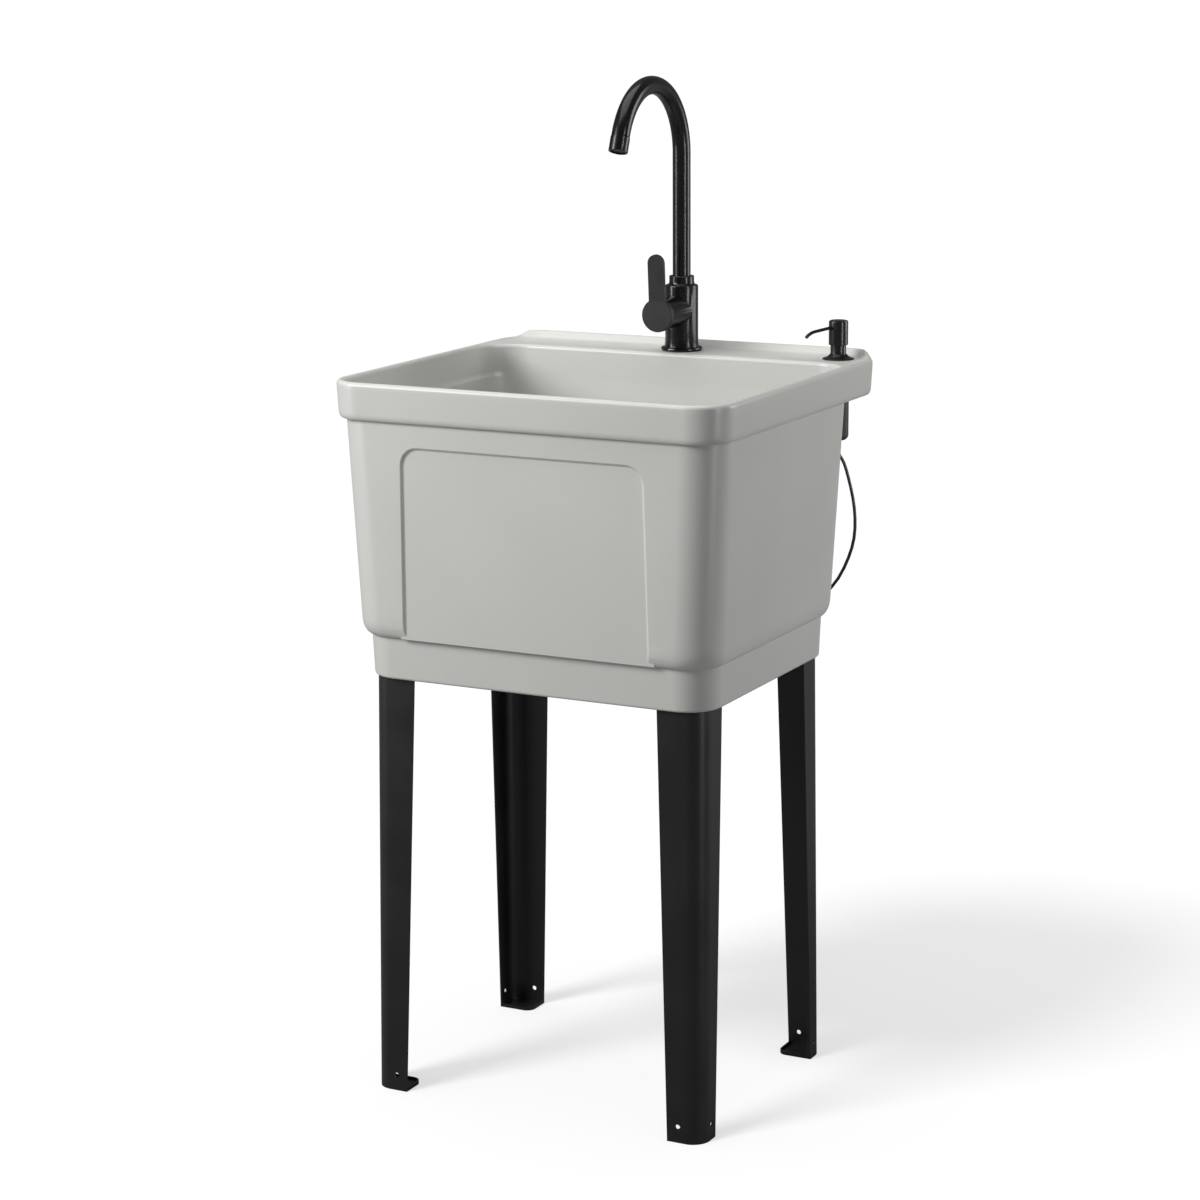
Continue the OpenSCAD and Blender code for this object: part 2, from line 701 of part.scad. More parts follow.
// Drain: a basket strainer clamped through the basin floor
thread_pitch = 3;
module threads(d, h, depth) {
    for (z = [thread_pitch / 2 : thread_pitch : h - thread_pitch / 2])
        translate([0, 0, z])
        difference() {
            cylinder(d = d + over * 2, h = thread_pitch / 3);
            translate([0, 0, -over]) cylinder(d = d - depth * 2, h = thread_pitch / 3 + over * 2);
        }
}
bowl_t = 2.5;
bowl_r = drain_body_d / 2 - bowl_t;
bowl_z = ledge_z - drain_bowl_h;
outlet_z = bowl_z - outlet_l;
outlet_bore = outlet_d - bowl_t * 3;
module drain_strainer() {
    color([0.75, 0.75, 0.76])
    at_drain(0)
    difference() {
        rotate_extrude()
        polygon([
            [outlet_bore / 2, outlet_z], [outlet_d / 2 - bowl_t / 5, outlet_z],
            [outlet_d / 2, outlet_z + bowl_t / 5], [outlet_d / 2, bowl_z],
            [bowl_r, bowl_z], [drain_body_d / 2, bowl_z + bowl_t],
            [drain_body_d / 2, ledge_z], [drain_flange_d / 2, ledge_z],
            [drain_flange_d / 2, ledge_z + drain_flange_t / 3],
            [drain_flange_d / 2 - drain_flange_t, ledge_z + drain_flange_t],
            [bowl_r + bowl_t, ledge_z + drain_flange_t], [bowl_r, ledge_z + drain_flange_t / 2],
            [bowl_r, bowl_z + bowl_t * 2], [bowl_r - bowl_t, bowl_z + bowl_t],
            [outlet_bore / 2, bowl_z + bowl_t / 2]
        ]);
        translate([0, 0, pad_z - nut_drop - drain_nut_h])
        threads(drain_body_d, drain_nut_h * 2, bowl_t / 4);
        translate([0, 0, outlet_z])
        threads(outlet_d, outlet_l - bowl_t * 2, bowl_t / 4);
    }
}
gasket_t = 3;
washer_t = 1.6;
drain_nut_h = 12;
nut_drop = gasket_t + washer_t;
module tube_ring(d_in, d_out, h) {
    difference() {
        cylinder(d = d_out, h = h);
        translate([0, 0, -over]) cylinder(d = d_in, h = h + over * 2);
    }
}
drain_fit_d = drain_body_d + slip_c * 2;
module drain_gasket() {
    color([0.15, 0.15, 0.15]) at_drain(pad_z - gasket_t) tube_ring(drain_fit_d, drain_flange_d - over,
        gasket_t);
}
module drain_washer() {
    color([0.7, 0.6, 0.45]) at_drain(pad_z - nut_drop) tube_ring(drain_fit_d, drain_flange_d - over,
        washer_t);
}
nut_lugs = 8;
module drain_nut() {
    color([0.85, 0.85, 0.85])
    at_drain(pad_z - nut_drop - drain_nut_h)
    difference() {
        union() {
            cylinder(d = drain_flange_d - drain_nut_h / 2, h = drain_nut_h);
            translate([0, 0, drain_nut_h - bowl_t]) cylinder(d = drain_flange_d, h = bowl_t);
            for (i = [0 : nut_lugs - 1]) rotate(i * 360 / nut_lugs)
                translate([drain_flange_d / 2 - drain_nut_h / 2, -bowl_t, 0])
                cube([drain_nut_h / 2 - bowl_t / 2, bowl_t * 2, drain_nut_h]);
        }
        translate([0, 0, -over]) cylinder(d = drain_fit_d, h = drain_nut_h + over * 2);
    }
}

// The lift-out basket: a slotted cup, a post with a knob and a rubber seal
basket_t = 1.2;
basket_r = bowl_r - over * 2;
basket_rim_z = ledge_z + drain_flange_t;
basket_h = 26;
post_d = 6;
knob_d = 18;
seal_h = 5;
basket_slots = 16;
module drain_basket() {
    color([0.7, 0.7, 0.7])
    at_drain(basket_rim_z - basket_h)
    difference() {
        union() {
            rotate_extrude()
            polygon([
                [0, 0], [basket_r - over, 0], [basket_r, over], [basket_r, basket_h],
                [bowl_r + bowl_t / 2, basket_h], [bowl_r + bowl_t / 2, basket_h + basket_t],
                [basket_r - basket_t, basket_h + basket_t], [basket_r - basket_t, over],
                [basket_r - over, basket_t], [0, basket_t]
            ]);
            cylinder(d = post_d, h = basket_h + knob_d / 2);
            translate([0, 0, basket_h + knob_d / 2]) cylinder(d = knob_d, h = post_d / 2);
            translate([0, 0, basket_h + knob_d / 2 - post_d / 2]) cylinder(d1 = post_d, d2 = knob_d,
                h = post_d / 2);
            translate([0, 0, -seal_h]) cylinder(d = outlet_bore + post_d, h = seal_h);
        }
        for (i = [0 : basket_slots - 1]) rotate(i * 360 / basket_slots)
            translate([basket_r - basket_t * 2, 0, basket_h * 0.28])
            rotate([0, 90, 0])
            translate([-basket_h * 0.1, 0, 0]) cylinder(d = post_d / 2, h = basket_t * 3);
        for (i = [0 : basket_slots - 1]) rotate((i + 0.5) * 360 / basket_slots)
            translate([basket_r - basket_t * 2, 0, basket_h * 0.62])
            rotate([0, 90, 0])
            cylinder(d = post_d / 2, h = basket_t * 3);
        for (i = [0 : basket_slots / 2 - 1]) rotate(i * 720 / basket_slots)
            translate([basket_r * 0.84, 0, -over]) cylinder(d = post_d / 2, h = basket_t + over * 2);
    }
}

// Tap, from the deck up
tap_gasket_t = 0.8;
base_z = deck_z + tap_gasket_t;
body_z = base_z + tap_base_h;
neck_z = body_z + tap_body_h;
neck_top = neck_z + neck_h;
arc_z = neck_top + spout_rise;
barrel_c = deck_z + barrel_z;
shank_bore = shank_d - 7;
module tap_gasket() {
    color([0.1, 0.1, 0.1]) at_tap(deck_z) tube_ring(shank_d + slip_c * 2, tap_base_d - over, tap_gasket_t);
}
base_edge = tap_base_h / 4;
module tap_flange() {
    color([0.12, 0.12, 0.12])
    at_tap(base_z)
    rotate_extrude()
    polygon([
        [shank_d / 2 + slip_c, 0], [tap_base_d / 2 - base_edge, 0], [tap_base_d / 2, base_edge],
        [tap_base_d / 2, tap_base_h - base_edge * 2], [tap_base_d / 2 - base_edge / 2,
        tap_base_h - base_edge],
        [tap_body_d / 2 + base_edge * 2, tap_base_h], [shank_d / 2 + slip_c, tap_base_h]
    ]);
}

body_flare = 1;
body_edge = 1.2;
bush_t = 2;
bush_h = 20;
bush_r = spout_d / 2 + run_c + bush_t;
bush_z = neck_z - bush_h;
port_d = 9;
port_gap = 6.6;
port_l = 14;
cart_r = 13.5;
cart_l = 22;
bonnet_l = 8;
bonnet_r = 16;
barrel_edge = 0.8;
module along_barrel() {
    translate([0, tap_y, barrel_c]) rotate([90, 0, 0]) children();
}
module tap_body() {
    color([0.12, 0.12, 0.12])
    difference() {
        union() {
            at_tap(0)
            rotate_extrude()
            polygon([
                [0, body_z], [tap_body_d / 2 + body_flare, body_z],
                [tap_body_d / 2 + body_flare * 0.6, body_z + body_flare * 2],
                [tap_body_d / 2 + body_flare * 0.2, body_z + body_flare * 6],
                [tap_body_d / 2, body_z + body_flare * 12],
                [tap_body_d / 2, neck_z - body_edge * 2], [tap_body_d / 2 - body_edge * 0.3,
                neck_z - body_edge * 0.6],
                [tap_body_d / 2 - body_edge, neck_z - body_edge * 0.1],
                [tap_body_d / 2 - body_edge * 1.5, neck_z],
                [0, neck_z]
            ]);
            along_barrel() cylinder(d = barrel_d, h = barrel_l - barrel_edge);
            along_barrel() translate([0, 0, barrel_l - barrel_edge])
            cylinder(d1 = barrel_d, d2 = barrel_d - barrel_edge * 2, h = barrel_edge);
            at_tap(deck_low_z - shank_l) cylinder(d = shank_d,
                h = shank_l + deck_t + tap_gasket_t + tap_base_h + over);
        }
        at_tap(deck_low_z - shank_l - over) cylinder(d = shank_bore, h = shank_l + deck_t + over);
        at_tap(deck_low_z - shank_l) threads(shank_d, shank_l - nut_drop - over * 2, body_edge / 2);
        for (s = [-1, 1]) translate([s * port_gap, 0, 0])
            at_tap(deck_z - over) cylinder(d = port_d, h = port_l);
        at_tap(bush_z) cylinder(r = bush_r, h = bush_h + over);
        along_barrel() translate([0, 0, barrel_l - bonnet_l - cart_l]) cylinder(r = cart_r + slip_c,
            h = cart_l + over);
        along_barrel() translate([0, 0, barrel_l - bonnet_l]) cylinder(r = bonnet_r + slip_c,
            h = bonnet_l + over);
    }
}

neck_flare = 2.4;
module tap_neck() {
    color([0.12, 0.12, 0.12])
    at_tap(neck_z)
    rotate_extrude()
    polygon([
        [spout_d / 2 + slip_c, 0], [neck_d / 2 + neck_flare, 0], [neck_d / 2 + neck_flare * 0.4,
        neck_flare * 0.35],
        [neck_d / 2 + neck_flare * 0.1, neck_flare * 0.9], [neck_d / 2, neck_flare * 1.6],
        [neck_d / 2, neck_h - body_edge / 2], [neck_d / 2 - body_edge / 2, neck_h],
        [spout_d / 2 + body_edge, neck_h], [spout_d / 2 + slip_c, neck_h - body_edge / 2]
    ]);
}
module tap_bush() {
    color([0.9, 0.9, 0.9])
    at_tap(bush_z)
    tube_ring(spout_d + run_c * 2, bush_r * 2, bush_h);
}

// Spout: a tube that runs up from the bush, over the arc and down to the aerator
spout_in_d = spout_d - spout_wall * 2;
// A straight end runs this far into its bend, and is this much slimmer on the radius
join_in = 0.4;
join_step = 0.04;
aerator_l = spout_tip - join_in * 2;
// The frame at the end of the bend, with +Z along the flow
module at_tip() {
    translate([0, -spout_bend_r, arc_z])
    rotate([spout_bend_a, 0, 0])
    translate([0, spout_bend_r, 0])
    rotate([0, 0, 180])
    children();
}
module tap_spout() {
    color([0.12, 0.12, 0.12])
    translate([0, tap_y, 0])
    union() {
        translate([0, 0, bush_z]) tube_ring(spout_in_d, spout_d, arc_z - bush_z);
        translate([0, -spout_bend_r, arc_z])
        rotate([90, 0, 90])
        rotate_extrude(angle = spout_bend_a, $fn = 128)
        translate([spout_bend_r, 0])
        difference() {
            circle(d = spout_d, $fn = 64);
            circle(d = spout_in_d, $fn = 64);
        }
        at_tip() translate([0, 0, -join_in]) tube_ring(spout_in_d + join_step * 2,
            spout_d - join_step * 2, spout_tip - aerator_l + join_in);
        at_tip() translate([0, 0, spout_tip - aerator_l]) tube_ring(spout_in_d + join_step * 2,
            spout_d - spout_wall * 1.5, aerator_l / 2);
    }
}
aerator_gap = 0.8;
aerator_grow = 0.5;
module tap_aerator() {
    color([0.12, 0.12, 0.12])
    translate([0, tap_y, 0])
    at_tip()
    translate([0, 0, spout_tip - aerator_l + aerator_gap])
    rotate_extrude()
    polygon([
        [spout_d / 2 - spout_wall * 0.75 + run_c, 0], [spout_d / 2, 0],
        [spout_d / 2 + aerator_grow, aerator_grow], [spout_d / 2 + aerator_grow,
        aerator_l - aerator_gap * 1.4],
        [spout_d / 2, aerator_l - aerator_gap], [spout_d / 2 - spout_wall, aerator_l - aerator_gap],
        [spout_d / 2 - spout_wall, aerator_l / 2 + aerator_gap],
        [spout_d / 2 - spout_wall * 0.75 + run_c, aerator_l / 2 + aerator_gap]
    ]);
}
jets = 12;
jet_d = 1.6;
insert_r = spout_d / 2 - spout_wall - run_c;
module tap_aerator_insert() {
    color([0.2, 0.2, 0.2])
    translate([0, tap_y, 0])
    at_tip()
    translate([0, 0, spout_tip - aerator_l / 2 + aerator_gap * 2])
    difference() {
        cylinder(r = insert_r, h = aerator_l / 2 - aerator_gap * 4);
        for (i = [0 : jets - 1]) rotate(i * 360 / jets)
            translate([insert_r * 0.72, 0, -over]) cylinder(d = jet_d, h = aerator_l + over);
        for (i = [0 : jets / 2 - 1]) rotate(i * 720 / jets)
            translate([insert_r * 0.36, 0, -over]) cylinder(d = jet_d, h = aerator_l + over);
    }
}

// Valve: the cartridge in the barrel, the ring that holds it, the stem and the handle
pivot_back = 8;
pivot_l = barrel_l - pivot_back;
stem_d = 8;
stem_play = 3.6;
cart_head = 3;
module tap_cartridge() {
    color([0.85, 0.85, 0.85])
    along_barrel()
    translate([0, 0, barrel_l - bonnet_l - cart_l + slip_c])
    difference() {
        cylinder(r = cart_r, h = cart_l - slip_c * 2);
        translate([0, 0, cart_l - stem_seat]) cylinder(r = stem_yoke_r + run_c, h = stem_seat);
    }
}
stem_yoke_r = 9;
stem_seat = 7;
module tap_bonnet() {
    color([0.7, 0.7, 0.7])
    along_barrel()
    translate([0, 0, barrel_l - bonnet_l])
    difference() {
        cylinder(r = bonnet_r, h = bonnet_l - handle_gap / 2);
        translate([0, 0, -over]) cylinder(r = stem_yoke_r + slip_c * 2, h = bonnet_l + over * 2);
        translate([0, 0, bonnet_l / 2]) cylinder(r1 = stem_yoke_r + slip_c * 2,
            r2 = stem_yoke_r + bonnet_l / 2, h = bonnet_l / 2);
    }
}

// The rotor turns in the cartridge and carries the two ears that the stem tilts between
ear_t = 2.4;
ear_pin_d = 3;
rotor_h = 3;
module tap_stem() {
    color([0.6, 0.6, 0.62])
    along_barrel()
    union() {
        translate([0, 0, barrel_l - bonnet_l - stem_seat + slip_c * 2]) cylinder(r = stem_yoke_r,
            h = rotor_h);
        intersection() {
            translate([0, 0, barrel_l - bonnet_l - stem_seat + slip_c * 2])
            cylinder(r = stem_yoke_r, h = pivot_l + ear_pin_d - barrel_l + bonnet_l
                + stem_seat - slip_c * 2);
            for (s = [-1, 1]) translate([s * (stem_yoke_r - ear_t / 2 - run_c) - ear_t / 2, -stem_yoke_r,
                pivot_l - stem_seat])
                cube([ear_t, stem_yoke_r * 2, stem_seat + ear_pin_d]);
        }
        translate([-stem_yoke_r + ear_t / 2, 0, pivot_l]) rotate([0, 90, 0])
        cylinder(d = ear_pin_d, h = (stem_yoke_r - ear_t / 2) * 2);
    }
}

handle_z = barrel_l + handle_gap;
cavity_r = sqrt(pow(barrel_d / 2, 2) + pow(pivot_back, 2)) + slip_c * 2;
cavity_d = 4.7;
hub_wall = 1.4;
hub_r = ear_pin_d / 2 + hub_wall;
edge_r = 0.8;
paddle_bend = handle_d / 2 - 2.5;
module tap_handle() {
    color([0.13, 0.13, 0.13])
    along_barrel()
    difference() {
        union() {
            difference() {
                union() {
                    translate([0, 0, handle_z]) cylinder(d = handle_d, h = handle_t - edge_r);
                    translate([0, 0, handle_z + handle_t - edge_r])
                    cylinder(d1 = handle_d, d2 = handle_d - edge_r * 2, h = edge_r);
                    translate([0, paddle_bend, handle_z + handle_t])
                    rotate([paddle_lean, 0, 0]) rotate([0, 180, 0]) paddle();
                }
                intersection() {
                    translate([0, 0, pivot_l]) sphere(r = cavity_r);
                    translate([0, 0, handle_z - over]) cylinder(d = handle_d, h = cavity_d + over);
                }
            }
            translate([0, 0, pivot_l]) cylinder(r = hub_r, h = handle_z + handle_t - pivot_l - edge_r);
            translate([0, 0, pivot_l]) rotate([0, 90, 0]) cylinder(r = hub_r, h = hub_w, center = true);
        }
        translate([0, 0, pivot_l]) rotate([0, 90, 0]) cylinder(d = ear_pin_d + run_c * 2,
            h = stem_yoke_r * 2, center = true);
        translate([0, 0, handle_z + cavity_d / 2]) rotate([90, 0, 0]) cylinder(d = plug_d + run_c * 2,
            h = handle_d);
        for (s = [-1, 1]) translate([s * (hub_w + hub_r * 2) / 2 - hub_r, -hub_r * 2, pivot_l - hub_r * 2])
            cube([hub_r * 2, hub_r * 4, hub_r * 2 + ear_pin_d + slip_c]);
    }
}
hub_w = 8;
// The plug closes the hole of the set screw, and stays out of the hollow that clears the barrel
plug_d = 3.4;
plug_at = handle_z + cavity_d / 2;
plug_in = sqrt(pow(cavity_r, 2) - pow(plug_at - plug_d / 2 - pivot_l, 2));
module paddle() {
    linear_extrude(paddle_t)
    union() {
        translate([-paddle_w / 2, -paddle_bend / 2]) square([paddle_w,
            paddle_l - paddle_bend / 2 - paddle_w / 2]);
        translate([0, paddle_l - paddle_bend - paddle_w / 2]) circle(d = paddle_w);
    }
}
module tap_handle_plug() {
    color([0.1, 0.1, 0.1])
    along_barrel()
    translate([0, -plug_in, plug_at])
    rotate([90, 0, 0])
    cylinder(d = plug_d, h = handle_d / 2 - plug_in - slip_c);
}

// Under the deck: washers and nuts
tap_washer_d = 50;
tap_nut_d = 48;
tap_nut_h = 10;
module tap_washer_rubber() {
    color([0.12, 0.12, 0.12]) at_tap(deck_low_z - gasket_t) tube_ring(shank_d + slip_c * 2, tap_washer_d,
        gasket_t);
}
module tap_washer_steel() {
    color([0.7, 0.7, 0.7]) at_tap(deck_low_z - nut_drop) tube_ring(shank_d + slip_c * 2, tap_washer_d,
        washer_t);
}
module hex_nut(d_in, d_out, h) {
    difference() {
        cylinder(d = d_out, h = h, $fn = 6);
        translate([0, 0, -over]) cylinder(d = d_in, h = h + over * 2);
    }
}
module tap_nut() {
    color([0.75, 0.65, 0.35]) at_tap(deck_low_z - nut_drop - tap_nut_h) hex_nut(shank_d + slip_c * 2,
        tap_nut_d, tap_nut_h);
}

// Soap pump, from the deck up
soap_gasket_t = 2;
soap_lip_share = 0.2;
soap_lip_h = soap_flange_h * soap_lip_share;
soap_lip_d = soap_flange_d - 7;
collar_top = deck_z + soap_flange_h;
head_z = collar_top + soap_show;
soap_stroke = 9.5;
neck_in = 10;
rod_d = 6;
cyl_d = 15;
cyl_l = 58;
shank_in_d = cyl_d + 2;
shank_low = deck_low_z - soap_shank_l;
module soap_collar() {
    color([0.12, 0.12, 0.12])
    at_soap(deck_z)
    rotate_extrude()
    polygon([
        [soap_lip_d / 2 + slip_c, 0], [soap_flange_d / 2, 0], [soap_flange_d / 2, soap_flange_h * 0.12],
        [soap_flange_d / 2 - soap_flange_h * 0.05, soap_flange_h * 0.19],
        [soap_flange_d / 2 - soap_flange_h * 0.16, soap_flange_h * 0.24],
        [soap_flange_d * 0.415, soap_flange_h * 0.34], [soap_neck_d / 2 + soap_flange_h * 0.65,
        soap_flange_h * 0.46],
        [soap_neck_d / 2 + soap_flange_h * 0.38, soap_flange_h * 0.66],
        [soap_neck_d / 2 + soap_flange_h * 0.14, soap_flange_h * 0.87],
        [soap_neck_d / 2, soap_flange_h + soap_lip_h / 2],
        [soap_neck_d / 2, soap_flange_h + soap_show + neck_in], [rod_d / 2 + run_c,
        soap_flange_h + soap_show + neck_in],
        [rod_d / 2 + run_c, soap_flange_h + soap_show], [cyl_d / 2 + slip_c, soap_flange_h + soap_show],
        [cyl_d / 2 + slip_c, soap_lip_h + run_c], [soap_lip_d / 2 + slip_c, soap_lip_h + run_c]
    ]);
}
shank_round = 7;
fit_neck_d = 6;
module soap_shank() {
    color([0.1, 0.1, 0.1])
    at_soap(0)
    difference() {
        rotate_extrude()
        union() {
            polygon([
                [0, shank_low + shank_round], [soap_shank_d / 2, shank_low + shank_round],
                [soap_shank_d / 2, deck_z], [soap_lip_d / 2, deck_z], [soap_lip_d / 2, deck_z + soap_lip_h],
                [0, deck_z + soap_lip_h]
            ]);
            intersection() {
                translate([0, shank_low]) square([soap_shank_d / 2, shank_round]);
                union() {
                    translate([0, shank_low]) square([soap_shank_d / 2 - shank_round, shank_round]);
                    translate([soap_shank_d / 2 - shank_round,
                        shank_low + shank_round]) circle(r = shank_round);
                }
            }
        }
        translate([0, 0, shank_low + bowl_t]) cylinder(d = shank_in_d,
            h = soap_shank_l + deck_t + soap_lip_h);
        translate([0, 0, shank_low - over]) cylinder(d = fit_neck_d + run_c * 2, h = bowl_t + over * 2);
        translate([0, 0, shank_low + shank_round + over])
        threads(soap_shank_d, soap_shank_l - shank_round - over * 3, soap_lip_h / 3);
    }
}
module soap_gasket() {
    color([0.12, 0.12, 0.12])
    at_soap(deck_low_z - soap_gasket_t) tube_ring(soap_shank_d + slip_c * 2, soap_flange_d, soap_gasket_t);
}
soap_nut_h = 9;
soap_nut_lobes = 6;
module soap_nut() {
    color([0.1, 0.1, 0.1])
    at_soap(deck_low_z - soap_gasket_t - soap_nut_h)
    difference() {
        union() {
            cylinder(d = soap_flange_d - soap_nut_h / 2, h = soap_nut_h);
            for (i = [0 : soap_nut_lobes - 1]) rotate(i * 360 / soap_nut_lobes)
                translate([soap_flange_d / 2 - soap_nut_h / 4, 0, 0]) cylinder(d = soap_nut_h * 0.6,
                    h = soap_nut_h);
        }
        translate([0, 0, -over]) cylinder(d = soap_shank_d + slip_c * 2, h = soap_nut_h + over * 2);
    }
}
cyl_top = head_z - slip_c;
piston_d = 9;
piston_h = 8;
rod_low = cyl_top - 26;
module soap_cylinder() {
    color([0.9, 0.9, 0.9])
    at_soap(0)
    difference() {
        union() {
            translate([0, 0, cyl_top - cyl_l]) cylinder(d = cyl_d, h = cyl_l);
            translate([0, 0, shank_low + bowl_t + slip_c]) cylinder(d = piston_d,
                h = cyl_top - cyl_l - shank_low);
        }
        translate([0, 0, rod_low - soap_stroke - over]) cylinder(d = piston_d + run_c * 2, h = cyl_l);
    }
}
module soap_plunger() {
    color([0.85, 0.85, 0.85])
    at_soap(0)
    union() {
        translate([0, 0, rod_low]) cylinder(d = piston_d, h = piston_h);
        translate([0, 0, rod_low]) cylinder(d = rod_d, h = rod_top - rod_low);
    }
}
head_top = head_z + soap_head_h;
rod_top = head_top - 6;
head_edge = 2.4;
nozzle_drop = 8;
nozzle_slope = 6;
nozzle_turn = 34;
nozzle_start = 8;
nozzle_bore = 2;
module nozzle_shape(d) {
    rotate([0, 90 + nozzle_slope, 0]) cylinder(d = d - join_step * 2, h = nozzle_l + join_in);
    translate([nozzle_l * cos(nozzle_slope), 0, -nozzle_l * sin(nozzle_slope)])
    rotate([0, nozzle_slope, 0])
    translate([0, 0, -nozzle_r])
    rotate([90, 0, 0])
    rotate([0, 0, 90 - nozzle_turn])
    rotate_extrude(angle = nozzle_turn)
    translate([nozzle_r, 0]) circle(d = d, $fn = 32);
}
module soap_head() {
    color([0.12, 0.12, 0.12])
    difference() {
        union() {
            at_soap(head_z)
            difference() {
                rotate_extrude()
                union() {
                    polygon([
                        [0, 0], [soap_head_d / 2 - head_edge / 4, 0], [soap_head_d / 2, head_edge / 4],
                        [soap_head_d / 2, soap_head_h - head_edge], [soap_head_d / 2 - head_edge * 0.3,
                        soap_head_h - head_edge * 0.35],
                        [soap_head_d / 2 - head_edge, soap_head_h - head_edge * 0.1], [soap_head_d / 4,
                        soap_head_h], [0, soap_head_h]
                    ]);
                }
                translate([0, 0, -over]) cylinder(d = soap_neck_d + slip_c * 2,
                    h = neck_in + soap_stroke + over + slip_c * 2);
                cylinder(d = rod_d + run_c * 2, h = rod_top - head_z);
            }
            at_soap(head_top - nozzle_drop) rotate([0, 0, nozzle_a])
            translate([nozzle_start, 0, 0]) nozzle_shape(nozzle_d);
        }
        at_soap(head_top - nozzle_drop) rotate([0, 0, nozzle_a])
        translate([nozzle_start, 0, 0])
        translate([nozzle_l * cos(nozzle_slope), 0, -nozzle_l * sin(nozzle_slope)])
        rotate([0, nozzle_slope, 0])
        translate([0, 0, -nozzle_r])
        rotate([90, 0, 0])
        rotate([0, 0, 90 - nozzle_turn])
        rotate_extrude(angle = nozzle_turn)
        translate([nozzle_r, 0]) circle(d = nozzle_bore, $fn = 24);
    }
}

// Suction tube: it leaves the fitting under the pump, bows out and hangs in a coil behind the tub
fit_h = 8;
fit_d = 9;
tube_z = shank_low - fit_h;
module tube_fitting() {
    color([0.1, 0.1, 0.1])
    at_soap(0)
    union() {
        translate([0, 0, tube_z]) cylinder(d1 = fit_d * 0.7, d2 = fit_d, h = fit_h);
        translate([0, 0, shank_low - over / 4]) cylinder(d = fit_neck_d, h = bowl_t);
    }
}

// Route of the tube, measured from the end of the fitting
tube_route = [
    [0, 0, 0], [0, 0, -4], [2, 4, -12], [6, 8, -22], [11, 10, -40], [17, 10, -64], [20, 10, -88],
    [19, 10, -113], [12, 10, -138], [-1, 9, -165], [-20, 7, -188], [-43, 4, -205], [-67, 2, -217], [-86,
    1, -227],
    [-97, 0, -238], [-100, 0, -250], [-100, 0, -254]
];
coil_r = 23;
coil_turns = 5;
coil_step = 4.8;
coil_tail = 20;
tube_sides = 8;
coil_sides = 6;
turn_rings = 24;

function cat(a, b, c, d, t) = 0.5 * ((2 * b) + (c - a) * t + (2 * a - 5 * b + 4 * c - d) * t * t
    + (3 * b - a - 3 * c + d) * t * t * t);
function route_at(r, i, t) = cat(r[max(i - 1, 0)], r[i], r[i + 1], r[min(i + 2, len(r) - 1)], t);
function fine_route(r) = concat(
    [r[0]],
    [for (i = [1 : len(r) - 3]) for (t = [0, 0.5]) route_at(r, i, t)],
    [r[len(r) - 2], r[len(r) - 1]]
);
function unit(v) = v / norm(v);
function along(p, i) = unit(p[min(i + 1, len(p) - 1)] - p[max(i - 1, 0)]);
function side_of(t) = unit(cross(t, [0, 1, 0.001]));
function tube_line(p, i, r, n) =
    let (t = i == 0 ? unit(p[1] - p[0]) : (i == len(p) - 1 ? unit(p[i] - p[i - 1]) : along(p, i)))
    let (s = side_of(t))
    let (u = cross(s, t))
    [for (k = [0 : n - 1]) p[i] + r * cos(360 * k / n) * s + r * sin(360 * k / n) * u];
module sweep(p, d, n) {
    skin([for (i = [0 : len(p) - 1]) tube_line(p, i, d / 2, n)]);
}

tube_start = [soap_x, soap_y, tube_z];
free_path = [for (q = fine_route(tube_route)) tube_start + q];
coil_start = tube_start + tube_route[len(tube_route) - 1];
coil_c = coil_start + [-coil_r, 0, -tube_d];
coil_points = concat(
    [coil_start],
    [for (i = [0 : coil_turns * turn_rings])
        let (a = -360 * i / turn_rings)
        coil_c + [coil_r * cos(a), coil_step * i / turn_rings, coil_r * sin(a)]],
    [coil_c + [coil_r, coil_turns * coil_step, -coil_tail / 2],
        coil_c + [coil_r, coil_turns * coil_step, -coil_tail],
        coil_c + [coil_r, coil_turns * coil_step, -coil_tail - tube_d]]
);
coil_end = coil_points[len(coil_points) - 1];

// Least gap of the coil to itself, on the points of the two loops
loop_gap = min([
    for (i = [0 : turn_rings]) for (j = [i + turn_rings / 2 : coil_turns * turn_rings])
    norm(coil_points[i + 1] - coil_points[j + 1])
]) - tube_d;
tube_length = sum_length(free_path, 0) + sum_length(coil_points, 0);
function sum_length(p, i) = i >= len(p) - 1 ? 0 : norm(p[i + 1] - p[i]) + sum_length(p, i + 1);
echo(coil_gap = loop_gap, tube_length = tube_length);

module soap_tube() {
    color([0.1, 0.1, 0.1]) sweep(free_path, tube_d, tube_sides);
}
module soap_tube_coil() {
    color([0.1, 0.1, 0.1]) sweep(coil_points, tube_d, coil_sides);
}

